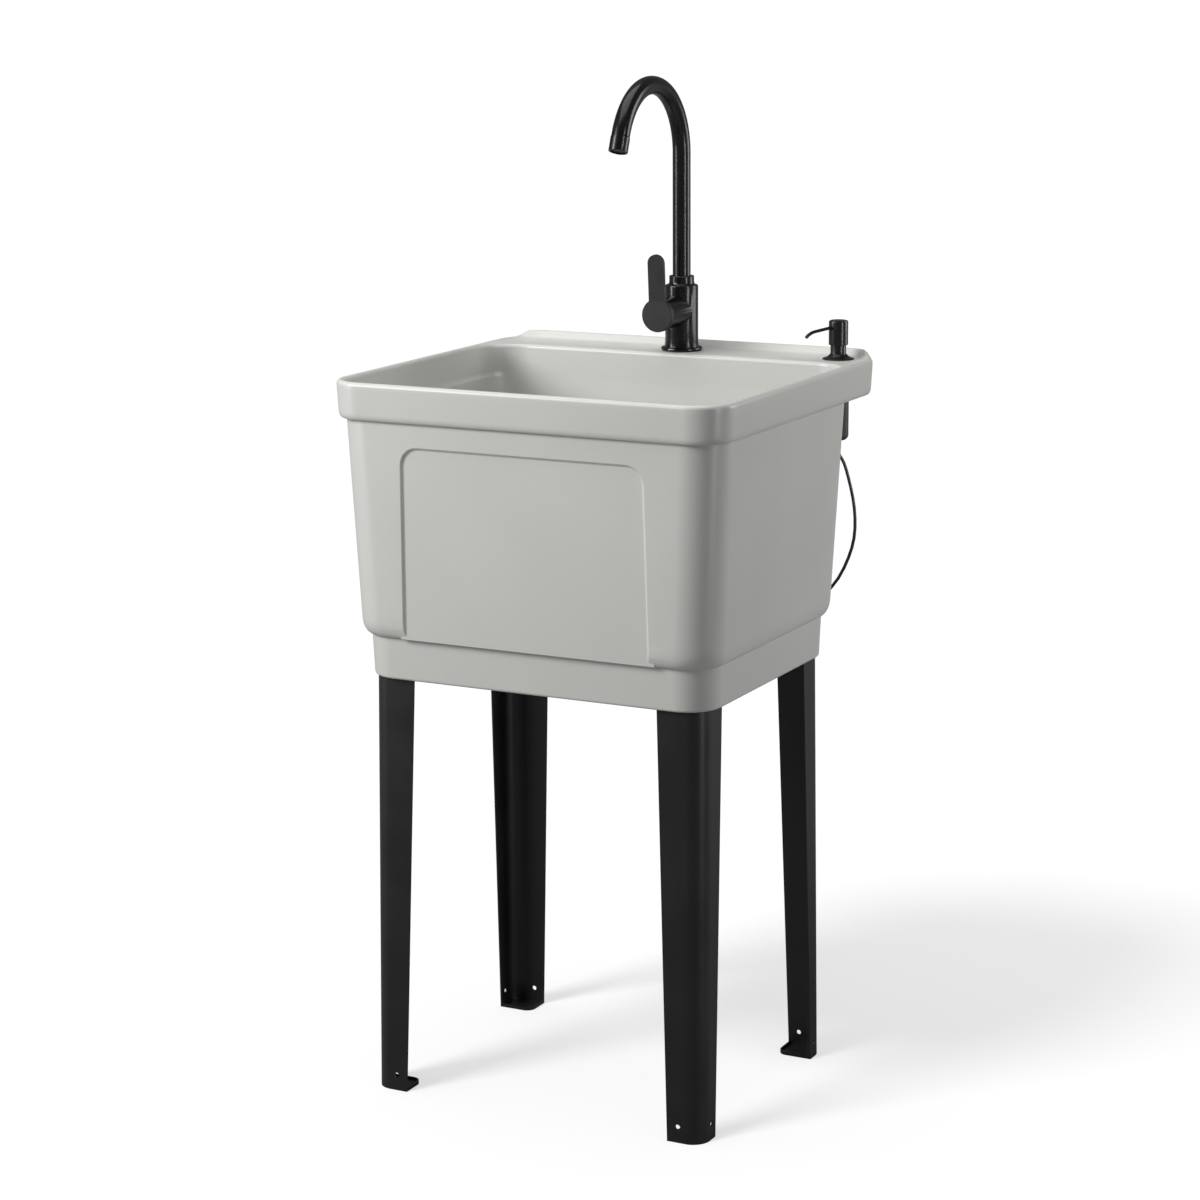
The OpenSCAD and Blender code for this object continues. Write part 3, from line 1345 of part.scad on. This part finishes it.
// A strap round the turns at the top of the coil, and the foot valve on the tube's end
tie_w = 4;
tie_t = 1;
tie_in = tube_d / 2 + slip_c;
tie_span = coil_step * (coil_turns - 1);
module tie_shape(r) {
    translate([0, -tie_span / 2]) circle(r = r);
    translate([0, tie_span / 2]) circle(r = r);
    translate([-r, -tie_span / 2]) square([2 * r, tie_span]);
}
module tube_tie() {
    color([0.1, 0.1, 0.1])
    translate(coil_c + [0, coil_step * 0.75 + tie_span / 2, coil_r])
    rotate([0, 90, 0])
    translate([0, 0, -tie_w / 2])
    linear_extrude(tie_w)
    difference() {
        tie_shape(tie_in + tie_t);
        tie_shape(tie_in);
    }
}
foot_l = 22;
foot_d = 9;
module tube_foot() {
    color([0.15, 0.15, 0.15])
    translate(coil_end)
    rotate([180, 0, 0])
    union() {
        cylinder(d1 = foot_d * 0.7, d2 = foot_d, h = foot_l / 4);
        translate([0, 0, foot_l / 4]) cylinder(d = foot_d, h = foot_l / 2);
        translate([0, 0, foot_l * 0.75]) cylinder(d1 = foot_d, d2 = foot_d * 0.8, h = foot_l / 4);
    }
}

tub();
leg_front_right();
leg_front_left();
leg_back_right();
leg_back_left();
leg_screws();
drain_strainer();
drain_gasket();
drain_washer();
drain_nut();
drain_basket();
tap_gasket();
tap_flange();
tap_body();
tap_neck();
tap_bush();
tap_spout();
tap_aerator();
tap_aerator_insert();
tap_cartridge();
tap_bonnet();
tap_stem();
tap_handle();
tap_handle_plug();
tap_washer_rubber();
tap_washer_steel();
tap_nut();
soap_collar();
soap_shank();
soap_gasket();
soap_nut();
soap_cylinder();
soap_plunger();
soap_head();
tube_fitting();
soap_tube();
soap_tube_coil();
tube_tie();
tube_foot();
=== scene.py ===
# %% [markdown]
# # A laundry sink, dressed for its picture
#
# The solids of the sink come ready-made: every node sits where it belongs, in metres, with
# +Z up, +X to the right and the front towards -Y. This script only gives them a camera, light,
# smooth shading and materials, and swaps the soft suction tube for a rounder one.

# %% Load the solids
import math

import bpy
import numpy as np
from mathutils import Matrix, Vector


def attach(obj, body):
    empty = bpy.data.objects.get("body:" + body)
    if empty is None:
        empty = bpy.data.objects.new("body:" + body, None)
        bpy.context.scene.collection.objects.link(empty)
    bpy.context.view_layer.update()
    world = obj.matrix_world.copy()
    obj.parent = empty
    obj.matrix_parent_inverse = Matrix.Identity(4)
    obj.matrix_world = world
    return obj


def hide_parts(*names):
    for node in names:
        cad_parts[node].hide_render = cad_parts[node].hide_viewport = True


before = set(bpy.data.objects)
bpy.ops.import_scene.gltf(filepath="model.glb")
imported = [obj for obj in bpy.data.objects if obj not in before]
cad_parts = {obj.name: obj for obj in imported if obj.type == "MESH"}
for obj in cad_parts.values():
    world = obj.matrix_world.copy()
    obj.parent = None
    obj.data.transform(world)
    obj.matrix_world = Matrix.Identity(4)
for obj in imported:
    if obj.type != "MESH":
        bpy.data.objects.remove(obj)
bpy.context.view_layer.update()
scene = bpy.context.scene
print("nodes:", len(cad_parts))

# %% [markdown]
# ## The camera
#
# The camera stands where the photo was taken from. It could be turned by hand until the edges
# agree. Here its place, azimuth, pitch and small roll were solved from the straight edges of the
# rim, the collar and the legs, which is quicker and agrees within a pixel or two. The lens is
# given on a sensor 36 mm wide, for a square picture.

# %% Camera
CAM_AT = Vector((1.6261, -3.2020, 1.3574))
CAM_AZIMUTH = math.radians(27.14)
CAM_PITCH = math.radians(12.21)
CAM_ROLL = math.radians(-0.36)
CAM_LENS = 92.23
CAM_SENSOR = 36.0

# The camera's own axes: the way it looks, its right and its up, then the small roll
forward = Vector((
    -math.sin(CAM_AZIMUTH) * math.cos(CAM_PITCH),
    math.cos(CAM_AZIMUTH) * math.cos(CAM_PITCH),
    -math.sin(CAM_PITCH),
))
level_right = Vector((math.cos(CAM_AZIMUTH), math.sin(CAM_AZIMUTH), 0.0))
level_up = level_right.cross(forward)
right = level_right * math.cos(CAM_ROLL) + level_up * math.sin(CAM_ROLL)
up = level_up * math.cos(CAM_ROLL) - level_right * math.sin(CAM_ROLL)

cam_data = bpy.data.cameras.new("camera")
cam_data.sensor_width = CAM_SENSOR
cam_data.sensor_fit = "HORIZONTAL"
cam_data.lens = CAM_LENS
cam = bpy.data.objects.new("camera", cam_data)
scene.collection.objects.link(cam)
turn = Matrix((right, up, -forward)).transposed()
cam.matrix_world = Matrix.Translation(CAM_AT) @ turn.to_4x4()
scene.camera = cam
print("camera:", tuple(round(v, 3) for v in CAM_AT), "lens in mm:", CAM_LENS)

# %% [markdown]
# ## Node materials
#
# Each finish is a small node graph. A noise gives the surface its grain as a bump, and a second,
# larger noise moves the colour and the gloss a little, so that no surface is one flat value.
# Coordinates are object coordinates, which here are metres, so a scale of 1000 makes a grain
# of about one millimetre. Pictures could give the grain too, but they need the surfaces to be
# unwrapped, and they show their pixels close by.


# %% Helpers for node graphs
MIX_FACTOR, MIX_DARK, MIX_LIGHT, MIX_COLOUR = 0, 6, 7, 2   # sockets of a Mix node set to colour
NOISE_LOW, NOISE_HIGH = 0.3, 0.7                           # nearly all of a noise lies between


class Graph:
    """A material's nodes, with short calls to add and join them."""

    def __init__(self, name):
        self.mat = bpy.data.materials.new(name)
        self.mat.use_nodes = True
        self.tree = self.mat.node_tree
        self.tree.nodes.clear()
        self.out = self.add("ShaderNodeOutputMaterial")
        self.shader = self.add("ShaderNodeBsdfPrincipled")
        self.join(self.shader, "BSDF", self.out, "Surface")
        self.coords = self.add("ShaderNodeTexCoord")

    def add(self, kind, **inputs):
        node = self.tree.nodes.new(kind)
        for key, value in inputs.items():
            node.inputs[key.replace("_", " ")].default_value = value
        return node

    def join(self, a, a_out, b, b_in):
        self.tree.links.new(a.outputs[a_out], b.inputs[b_in])

    def noise(self, scale, detail, rough=0.5, stretch=None):
        """A noise in the object's coordinates, squeezed along the axes by stretch."""
        node = self.add("ShaderNodeTexNoise", Scale=scale, Detail=detail, Roughness=rough)
        if stretch is None:
            self.join(self.coords, "Object", node, "Vector")
        else:
            mapping = self.add("ShaderNodeMapping", Scale=stretch)
            self.join(self.coords, "Object", mapping, "Vector")
            self.join(mapping, "Vector", node, "Vector")
        return node

    def span(self, noise, low, high):
        """Turn the noise into a value between low and high."""
        node = self.add(
            "ShaderNodeMapRange", From_Min=NOISE_LOW, From_Max=NOISE_HIGH, To_Min=low, To_Max=high
        )
        self.join(noise, "Fac", node, "Value")
        return node

    def bump(self, noise, strength, distance, below=None):
        """Tilt the surface by the noise, on top of the bump below."""
        node = self.add("ShaderNodeBump", Strength=strength, Distance=distance)
        self.join(noise, "Fac", node, "Height")
        if below is not None:
            self.join(below, "Normal", node, "Normal")
        return node

    def tint(self, noise, dark, light):
        """Let the noise move the colour between dark and light."""
        node = self.add("ShaderNodeMix")
        node.data_type = "RGBA"
        self.join(noise, "Fac", node, MIX_FACTOR)
        node.inputs[MIX_DARK].default_value = (*dark, 1.0)
        node.inputs[MIX_LIGHT].default_value = (*light, 1.0)
        return node

    def finish(self, colour, gloss, bump, **values):
        """Join what was made to the shader, set its other values and give the material back."""
        self.join(colour, MIX_COLOUR, self.shader, "Base Color")
        self.join(gloss, "Result", self.shader, "Roughness")
        self.join(bump, "Normal", self.shader, "Normal")
        for key, value in values.items():
            self.shader.inputs[key.replace("_", " ")].default_value = value
        return self.mat


# %% [markdown]
# ## The tub: moulded polymer
#
# The real tub is one moulding of light grey polymer, with the faint grain of its mould and a
# soft sheen. Two bumps are stacked for it: a broad one makes the skin a little uneven, and a
# fine one breaks the highlights on the rim. One bump could stand for both, but then the tub
# looks flat either from afar or from close by.


# %% Moulded polymer
def tub_material():
    g = Graph("tub_polymer")
    cloud = g.noise(scale=9.0, detail=4.0)
    grain = g.noise(scale=900.0, detail=2.0)
    skin = g.noise(scale=120.0, detail=2.0)
    colour = g.tint(cloud, dark=(0.600, 0.606, 0.575), light=(0.640, 0.646, 0.616))
    gloss = g.span(cloud, low=0.30, high=0.38)
    uneven = g.bump(skin, strength=0.10, distance=0.0006)
    fine = g.bump(grain, strength=0.12, distance=0.00012, below=uneven)
    return g.finish(colour, gloss, fine, Specular_IOR_Level=0.5, IOR=1.49)


# %% [markdown]
# ## The legs: powder coat
#
# The legs are folded steel sheet under a black powder coat. Such a coat melts into a skin with a
# slight orange peel and tiny flecks, so its highlight is broad and dull. A peel bump with a fleck
# bump on top gives that, at a roughness well above the tap's. A plain dull black would pass from
# afar, but its highlight would have no grain.


# %% Powder coat
def leg_material():
    g = Graph("leg_powder_coat")
    cloud = g.noise(scale=14.0, detail=3.0)
    peel = g.noise(scale=1500.0, detail=2.0)
    fleck = g.noise(scale=5200.0, detail=1.0)
    colour = g.tint(cloud, dark=(0.0040, 0.0041, 0.0043), light=(0.0070, 0.0071, 0.0074))
    gloss = g.span(cloud, low=0.34, high=0.44)
    orange_peel = g.bump(peel, strength=0.22, distance=0.00018)
    flecks = g.bump(fleck, strength=0.10, distance=0.00006, below=orange_peel)
    return g.finish(colour, gloss, flecks, Specular_IOR_Level=0.45)


# %% [markdown]
# ## The tap, its lever and the pump: black lacquer
#
# The tap's tube and body are nearly glossy, its lever is satin, and the pump lies between them.
# All three are one lacquer that differs in how dark and how smooth it is. So one function makes
# them, with the base colour and the span of the roughness as its arguments.


# %% Black lacquer
COOL_DARK = (0.80, 0.82, 0.86)    # shares of the base colour, a touch bluer than grey
COOL_LIGHT = (1.30, 1.33, 1.40)


def tap_material(name, base, rough):
    g = Graph(name)
    cloud = g.noise(scale=40.0, detail=3.0)
    peel = g.noise(scale=2600.0, detail=2.0)
    dark = tuple(base * share for share in COOL_DARK)
    light = tuple(base * share for share in COOL_LIGHT)
    colour = g.tint(cloud, dark=dark, light=light)
    gloss = g.span(cloud, low=rough[0], high=rough[1])
    ripple = g.bump(peel, strength=0.04, distance=0.00005)
    return g.finish(colour, gloss, ripple, Specular_IOR_Level=0.34)


# %% [markdown]
# ## Bare metals
#
# The strainer is pressed steel with a brushed look, the screws are zinc plated, and the tap's
# inner parts are turned brass. What tells them apart is the colour and the way the fine lines
# run. A noise that is squeezed along one axis draws those lines, and also moves the roughness.
# The shader's own anisotropy could stretch the highlight too, but it draws no lines.


# %% Bare metals
def metal_material(name, dark, light, rough, scale, stretch):
    g = Graph(name)
    lines = g.noise(scale=scale, detail=4.0, rough=0.6, stretch=stretch)
    cloud = g.noise(scale=60.0, detail=3.0)
    colour = g.tint(cloud, dark=dark, light=light)
    gloss = g.span(lines, low=rough[0], high=rough[1])
    brushing = g.bump(lines, strength=0.06, distance=0.00003)
    return g.finish(colour, gloss, brushing, Metallic=1.0)


# %% [markdown]
# ## Rubber, fibre and small mouldings
#
# Gaskets, washers, nuts and the tube are plain mouldings. They need no more than a colour that
# drifts a little, a fine grain and their own roughness: high for rubber and fibre, lower for the
# tube. One function with these as arguments serves them all.


# %% Plain mouldings
def plain_material(name, dark, light, rough, grain=1400.0, strength=0.2):
    g = Graph(name)
    cloud = g.noise(scale=45.0, detail=3.0)
    fine = g.noise(scale=grain, detail=2.0)
    colour = g.tint(cloud, dark=dark, light=light)
    gloss = g.span(cloud, low=rough[0], high=rough[1])
    skin = g.bump(fine, strength=strength, distance=0.0001)
    return g.finish(colour, gloss, skin, Specular_IOR_Level=0.5)


# %% [markdown]
# ## Which finish each piece has
#
# The materials are made once and shared, as one batch of lacquer or plastic would be. A table
# says which piece has which finish, so that none is forgotten and a finish is changed in one
# place.

# %% All materials
MATERIALS = {
    "tub": tub_material(),
    "leg": leg_material(),
    "tap": tap_material("tap_gloss_black", base=0.0038, rough=(0.20, 0.25)),
    "lever": tap_material("lever_satin_black", base=0.014, rough=(0.42, 0.52)),
    "pump": tap_material("pump_satin_black", base=0.009, rough=(0.22, 0.30)),
    "steel": metal_material(
        "strainer_steel", dark=(0.52, 0.52, 0.51), light=(0.62, 0.62, 0.61),
        rough=(0.22, 0.36), scale=300.0, stretch=(1, 1, 12),
    ),
    "zinc": metal_material(
        "zinc_plate", dark=(0.50, 0.50, 0.50), light=(0.62, 0.61, 0.58),
        rough=(0.25, 0.42), scale=700.0, stretch=(1, 1, 1),
    ),
    "brass": metal_material(
        "turned_brass", dark=(0.50, 0.36, 0.14), light=(0.62, 0.46, 0.20),
        rough=(0.22, 0.36), scale=400.0, stretch=(1, 8, 1),
    ),
    "rubber": plain_material(
        "black_rubber", dark=(0.010, 0.010, 0.010), light=(0.018, 0.018, 0.018),
        rough=(0.62, 0.78),
    ),
    "fibre": plain_material(
        "fibre_washer", dark=(0.30, 0.23, 0.14), light=(0.42, 0.33, 0.21),
        rough=(0.75, 0.9), grain=800.0, strength=0.5,
    ),
    "white": plain_material(
        "white_moulding", dark=(0.62, 0.62, 0.60), light=(0.70, 0.70, 0.68),
        rough=(0.35, 0.48),
    ),
    "plastic": plain_material(
        "black_moulding", dark=(0.010, 0.010, 0.011), light=(0.016, 0.016, 0.017),
        rough=(0.40, 0.55),
    ),
    "hose": plain_material(
        "suction_tube", dark=(0.009, 0.009, 0.010), light=(0.014, 0.014, 0.015),
        rough=(0.28, 0.38), grain=900.0, strength=0.1,
    ),
}
print("materials:", len(MATERIALS))

# %% The finish of each node
NODE_FINISH = {
    "tub": "tub",
    "leg_front_right": "leg", "leg_front_left": "leg",
    "leg_back_right": "leg", "leg_back_left": "leg",
    "leg_screws": "zinc", "tap_washer_steel": "zinc",
    "drain_strainer": "steel", "drain_basket": "steel",
    "drain_gasket": "rubber", "tap_gasket": "rubber", "tap_washer_rubber": "rubber",
    "soap_gasket": "rubber",
    "drain_washer": "fibre", "drain_nut": "white",
    "tap_flange": "tap", "tap_body": "tap", "tap_neck": "tap",
    "tap_spout": "tap", "tap_aerator": "tap",
    "tap_handle": "lever",
    "tap_bush": "white", "tap_aerator_insert": "plastic", "tap_cartridge": "white",
    "soap_cylinder": "white", "soap_plunger": "white",
    "tap_bonnet": "brass", "tap_stem": "brass", "tap_nut": "brass",
    "soap_collar": "pump", "soap_head": "pump",
    "tap_handle_plug": "plastic", "soap_shank": "plastic", "soap_nut": "plastic",
    "tube_fitting": "plastic", "tube_tie": "plastic", "tube_foot": "plastic",
    "soap_tube": "hose", "soap_tube_coil": "hose",
}

# %% [markdown]
# ## Smooth shading without moving a point
#
# The solids arrive as triangles. Their points stay where they are. Each corner of a face gets the
# average normal of the faces round the same point, counted only where the faces meet at less
# than a given angle. Round walls then shade smoothly, and real edges stay crisp. Blender's own
# smooth shading by angle could do this too, but it weighs each face by its corner alone, so that
# slivers pull the normals and leave streaks on the tub's flat walls. Here the face's size counts
# as well.


# %% Read a mesh into arrays
def read(items, field, kind=float, width=1):
    """One field of all vertices, loops or polygons, as an array with width columns."""
    values = np.empty(len(items) * width, dtype=kind)
    items.foreach_get(field, values)
    return values.reshape(-1, width) if width > 1 else values


# %% How much each face counts at its corners
TINY = 1e-12            # keeps a division away from zero
SMALLEST_AREA = 1e-14   # in square metres


def unit(vectors):
    return vectors / np.maximum(np.linalg.norm(vectors, axis=1, keepdims=True), TINY)


def corner_weights(points, loop_point, starts, totals, areas):
    """The angle of each corner times the root of its face's area."""
    after = np.arange(len(loop_point)) + 1
    before = np.arange(len(loop_point)) - 1
    after[starts + totals - 1] = starts
    before[starts] = starts + totals - 1
    here = points[loop_point]
    ahead = unit(points[loop_point[after]] - here)
    behind = unit(points[loop_point[before]] - here)
    angle = np.arccos(np.clip((ahead * behind).sum(1), -1, 1))
    return angle * np.sqrt(np.maximum(areas, SMALLEST_AREA))


# %% Corner normals
SAME_POINT = 1e6        # steps per metre: points closer than a micrometre count as one
SHORTEST_NORMAL = 1e-9


def soften(obj, angle):
    mesh = obj.data
    points = read(mesh.vertices, "co", width=3)
    loop_point = read(mesh.loops, "vertex_index", np.int64)
    normals = read(mesh.polygons, "normal", width=3)
    areas = read(mesh.polygons, "area")
    starts = read(mesh.polygons, "loop_start", np.int64)
    totals = read(mesh.polygons, "loop_total", np.int64)
    loop_face = np.repeat(np.arange(len(mesh.polygons)), totals)
    weight = corner_weights(points, loop_point, starts, totals, areas[loop_face])

    # Corners that share a point come one after another in order, and cuts parts them
    keys = np.round(points * SAME_POINT).astype(np.int64)
    _, group = np.unique(keys, axis=0, return_inverse=True)
    loop_group = group.reshape(-1)[loop_point]
    order = np.argsort(loop_group, kind="stable")
    cuts = np.flatnonzero(np.diff(loop_group[order])) + 1

    limit = math.cos(math.radians(angle))
    result = np.empty((len(loop_point), 3))
    for block in np.split(order, cuts):
        own = normals[loop_face[block]]
        near = (own @ own.T) >= limit
        mixed = (near * weight[block][None, :]) @ own
        length = np.linalg.norm(mixed, axis=1, keepdims=True)
        result[block] = np.where(
            length > SHORTEST_NORMAL, mixed / np.maximum(length, TINY), own
        )
    mesh.polygons.foreach_set("use_smooth", np.ones(len(mesh.polygons), dtype=bool))
    mesh.normals_split_custom_set(result.tolist())


# %% Smooth and dress every node
SMOOTH_ANGLE = {"tub": 44.0, "soap_nut": 30.0, "tap_nut": 25.0, "drain_nut": 30.0}
USUAL_ANGLE = 32.0
for name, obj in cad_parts.items():
    soften(obj, SMOOTH_ANGLE.get(name, USUAL_ANGLE))
    finish = MATERIALS[NODE_FINISH[name]]
    if not obj.material_slots:
        obj.data.materials.append(finish)
    for slot in obj.material_slots:
        slot.material = finish
print("dressed:", len(NODE_FINISH))

# %% [markdown]
# ## The suction tube
#
# The pump draws soap through a thin tube. It bows out beside the tub, passes behind it and hangs
# in a small tied coil that the tub hides. The solid tube has eight flat sides. It could be
# smoothed, but its outline would stay eight-sided, so one curve with a round section takes its
# place. The curve follows the same route, point by point.

# %% The tube's values, in millimetres
MM = 0.001
TUBE_START = (207.5, 197.0, 751.0)
TUBE_ROUTE = [
    (0, 0, 0), (0, 0, -4), (2, 4, -12), (6, 8, -22), (11, 10, -40), (17, 10, -64), (20, 10, -88),
    (19, 10, -113), (12, 10, -138), (-1, 9, -165), (-20, 7, -188), (-43, 4, -205), (-67, 2, -217),
    (-86, 1, -227), (-97, 0, -238), (-100, 0, -250), (-100, 0, -254),
]
COIL_R = 23.0
COIL_TURNS = 5
COIL_STEP = 4.8
COIL_TAIL = 20.0
TUBE_D = 4.0
TURN_RINGS = 24         # points in one turn of the coil
PLACES = (0.0, 0.5)     # the curve passes each point of the route, and half way to the next


# %% Points along the tube
def between(a, b, c, d, t):
    """The place at the share t from b to c, on a smooth curve through a, b, c and d."""
    return tuple(
        0.5 * (2 * b[i] + (c[i] - a[i]) * t + (2 * a[i] - 5 * b[i] + 4 * c[i] - d[i]) * t * t
               + (3 * b[i] - a[i] - 3 * c[i] + d[i]) * t ** 3)
        for i in range(3)
    )


def tube_points():
    r = TUBE_ROUTE
    fine = [r[0]]
    for i in range(1, len(r) - 2):
        for t in PLACES:
            fine.append(between(r[i - 1], r[i], r[i + 1], r[i + 2], t))
    fine += [r[-2], r[-1]]
    path = [tuple(TUBE_START[k] + p[k] for k in range(3)) for p in fine]
    start = path[-1]
    centre = (start[0] - COIL_R, start[1], start[2] - TUBE_D)
    for i in range(COIL_TURNS * TURN_RINGS + 1):
        a = -2 * math.pi * i / TURN_RINGS
        path.append((centre[0] + COIL_R * math.cos(a), centre[1] + COIL_STEP * i / TURN_RINGS,
                     centre[2] + COIL_R * math.sin(a)))
    for drop in (COIL_TAIL / 2, COIL_TAIL, COIL_TAIL + TUBE_D):
        path.append((centre[0] + COIL_R, centre[1] + COIL_TURNS * COIL_STEP, centre[2] - drop))
    return [Vector(p) * MM for p in path]


# %% The tube as a curve with a round section
ROUND_STEPS = 5
TUBE_SLIM = 0.99        # a hair thinner than the solid, so that it stays inside it


def tube_curve(name, points, diameter, material):
    data = bpy.data.curves.new(name, "CURVE")
    data.dimensions = "3D"
    data.bevel_depth = diameter / 2
    data.bevel_resolution = ROUND_STEPS
    data.use_fill_caps = True
    spline = data.splines.new("POLY")
    spline.points.add(len(points) - 1)
    for point, at in zip(spline.points, points):
        point.co = (*at, 1.0)
    spline.use_smooth = True
    data.materials.append(material)
    obj = bpy.data.objects.new(name, data)
    scene.collection.objects.link(obj)
    return obj


points = tube_points()
tube = tube_curve("suction_tube", points, TUBE_D * MM * TUBE_SLIM, MATERIALS["hose"])
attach(tube, "base")
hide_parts("soap_tube", "soap_tube_coil")

# %% [markdown]
# ## The floor
#
# The floor is white. For the camera alone it is a little brighter than the light makes it, so that
# it runs into the white background, while the object still gets only the light that falls on it.
# A shadow catcher could be used too. A plain floor is simpler, and throws a little light back at
# the legs.

# %% A shader for the camera's own rays
def camera_sees(tree, others, camera):
    """Mix two shaders: the camera sees the second, and all other rays meet the first."""
    path = tree.nodes.new("ShaderNodeLightPath")
    pick = tree.nodes.new("ShaderNodeMixShader")
    tree.links.new(path.outputs["Is Camera Ray"], pick.inputs["Fac"])
    for slot, shader in enumerate((others, camera), start=1):
        tree.links.new(shader.outputs[0], pick.inputs[slot])
    return pick


# %% Floor
FLOOR_BOUNCE = 0.26
FLOOR_SEEN = 0.40
FLOOR_GLOW = 0.60


def floor_material():
    mat = bpy.data.materials.new("studio_floor")
    mat.use_nodes = True
    tree = mat.node_tree
    tree.nodes.clear()

    def diffuse(value):
        node = tree.nodes.new("ShaderNodeBsdfDiffuse")
        node.inputs["Color"].default_value = (value, value, value, 1.0)
        return node

    glow = tree.nodes.new("ShaderNodeEmission")
    glow.inputs["Strength"].default_value = FLOOR_GLOW
    seen = tree.nodes.new("ShaderNodeAddShader")
    tree.links.new(diffuse(FLOOR_SEEN).outputs["BSDF"], seen.inputs[0])
    tree.links.new(glow.outputs["Emission"], seen.inputs[1])
    pick = camera_sees(tree, diffuse(FLOOR_BOUNCE), seen)
    out = tree.nodes.new("ShaderNodeOutputMaterial")
    tree.links.new(pick.outputs["Shader"], out.inputs["Surface"])
    return mat


FLOOR_HALF = 30.0       # far beyond what the camera sees
FLOOR_CORNERS = ((-1, -1), (1, -1), (1, 1), (-1, 1))
floor_mesh = bpy.data.meshes.new("floor")
floor_mesh.from_pydata(
    [(x * FLOOR_HALF, y * FLOOR_HALF, 0) for x, y in FLOOR_CORNERS], [], [(0, 1, 2, 3)]
)
floor = bpy.data.objects.new("floor", floor_mesh)
floor_mesh.materials.append(floor_material())
scene.collection.objects.link(floor)

# %% [markdown]
# ## The world
#
# The world is white for the camera. For everything else it is a weak grey that fills the darkest
# folds a little, so that the lamps keep shaping the object. A picture of a studio could light it
# as well, but lamps can be placed one by one.

# %% World
WORLD_FILL = 0.16
WORLD_SEEN = 1.05
world = bpy.data.worlds.new("studio")
scene.world = world
world.use_nodes = True
sky_tree = world.node_tree
sky_tree.nodes.clear()


def background(value):
    node = sky_tree.nodes.new("ShaderNodeBackground")
    node.inputs["Color"].default_value = (1.0, 1.0, 1.0, 1.0)
    node.inputs["Strength"].default_value = value
    return node


sky = camera_sees(sky_tree, background(WORLD_FILL), background(WORLD_SEEN))
sky_out = sky_tree.nodes.new("ShaderNodeOutputWorld")
sky_tree.links.new(sky.outputs["Shader"], sky_out.inputs["Surface"])

# %% [markdown]
# ## The lamps
#
# A large soft box at the left of the camera is the main light, one above opens up the basin, and
# one at the back right lights the side wall. Two tall narrow boxes draw the thin bright lines
# along the tap, and add no other light. The floor has two lamps of its own: one soft, and one
# with an edge that throws the legs' shadows back and to the right. That keeps the floor even,
# and lets the boxes stand close to the object, where they shade its walls from left to right.
# One sun for everything would be simpler, but it would cut a hard shadow across the basin.


# %% Two kinds of lamp
def sun_light(name, towards, strength, angle):
    """A far light that comes from the direction towards, over a disc of that angle."""
    data = bpy.data.lights.new(name, "SUN")
    data.energy = strength
    data.angle = math.radians(angle)
    light = bpy.data.objects.new(name, data)
    scene.collection.objects.link(light)
    light.rotation_euler = (-Vector(towards)).to_track_quat("-Z", "Y").to_euler()
    return light


def area_light(name, at, aim, size, watts, size_y=None, diffuse=True):
    data = bpy.data.lights.new(name, "AREA")
    data.shape = "RECTANGLE" if size_y else "SQUARE"
    data.size = size
    if size_y:
        data.size_y = size_y
    data.energy = watts
    light = bpy.data.objects.new(name, data)
    scene.collection.objects.link(light)
    at = Vector(at)
    light.location = at
    light.rotation_euler = (Vector(aim) - at).to_track_quat("-Z", "Y").to_euler()
    light.visible_diffuse = diffuse
    return light


# %% Which lamp lights what
def light_for(light, floor_only):
    """Give the light a list of what it lights: the floor alone, or all but the floor."""
    lit = bpy.data.collections.new(light.name + "_lights")
    lit.objects.link(floor)
    lit.collection_objects[0].light_linking.link_state = "INCLUDE" if floor_only else "EXCLUDE"
    light.light_linking.receiver_collection = lit


# %% The lamps themselves
floor_lights = [
    sun_light("floor_sky", towards=(-0.15, -0.10, 1.0), strength=1.25, angle=80.0),
    sun_light("floor_key", towards=(-0.40, -0.78, 1.10), strength=2.15, angle=16.0),
]
object_lights = [
    area_light("key_box", at=(-1.6, -1.9, 2.0), aim=(0.0, 0.0, 0.75), size=1.2, watts=65.0),
    area_light("top_box", at=(-0.2, -0.1, 2.6), aim=(0.0, 0.0, 0.8), size=1.6, watts=20.0),
    area_light(
        "right_back_box", at=(2.0, 1.65, 1.3), aim=(0.1, 0.0, 0.7),
        size=1.0, size_y=1.6, watts=29.0,
    ),
    area_light(
        "strip_right", at=(2.4, -0.6, 1.2), aim=(0.0, 0.1, 0.9),
        size=0.16, size_y=2.0, watts=26.0, diffuse=False,
    ),
    area_light(
        "strip_left", at=(-2.2, -1.6, 1.4), aim=(0.0, 0.1, 0.9),
        size=0.22, size_y=2.0, watts=32.0, diffuse=False,
    ),
]
for light in floor_lights:
    light_for(light, floor_only=True)
for light in object_lights:
    light_for(light, floor_only=False)
print("lights:", len(floor_lights) + len(object_lights))

# %% [markdown]
# ## Hand over
#
# The view transform stays plain, so that colours come out as they were written.

# %% Hand over
scene.view_settings.view_transform = "Standard"
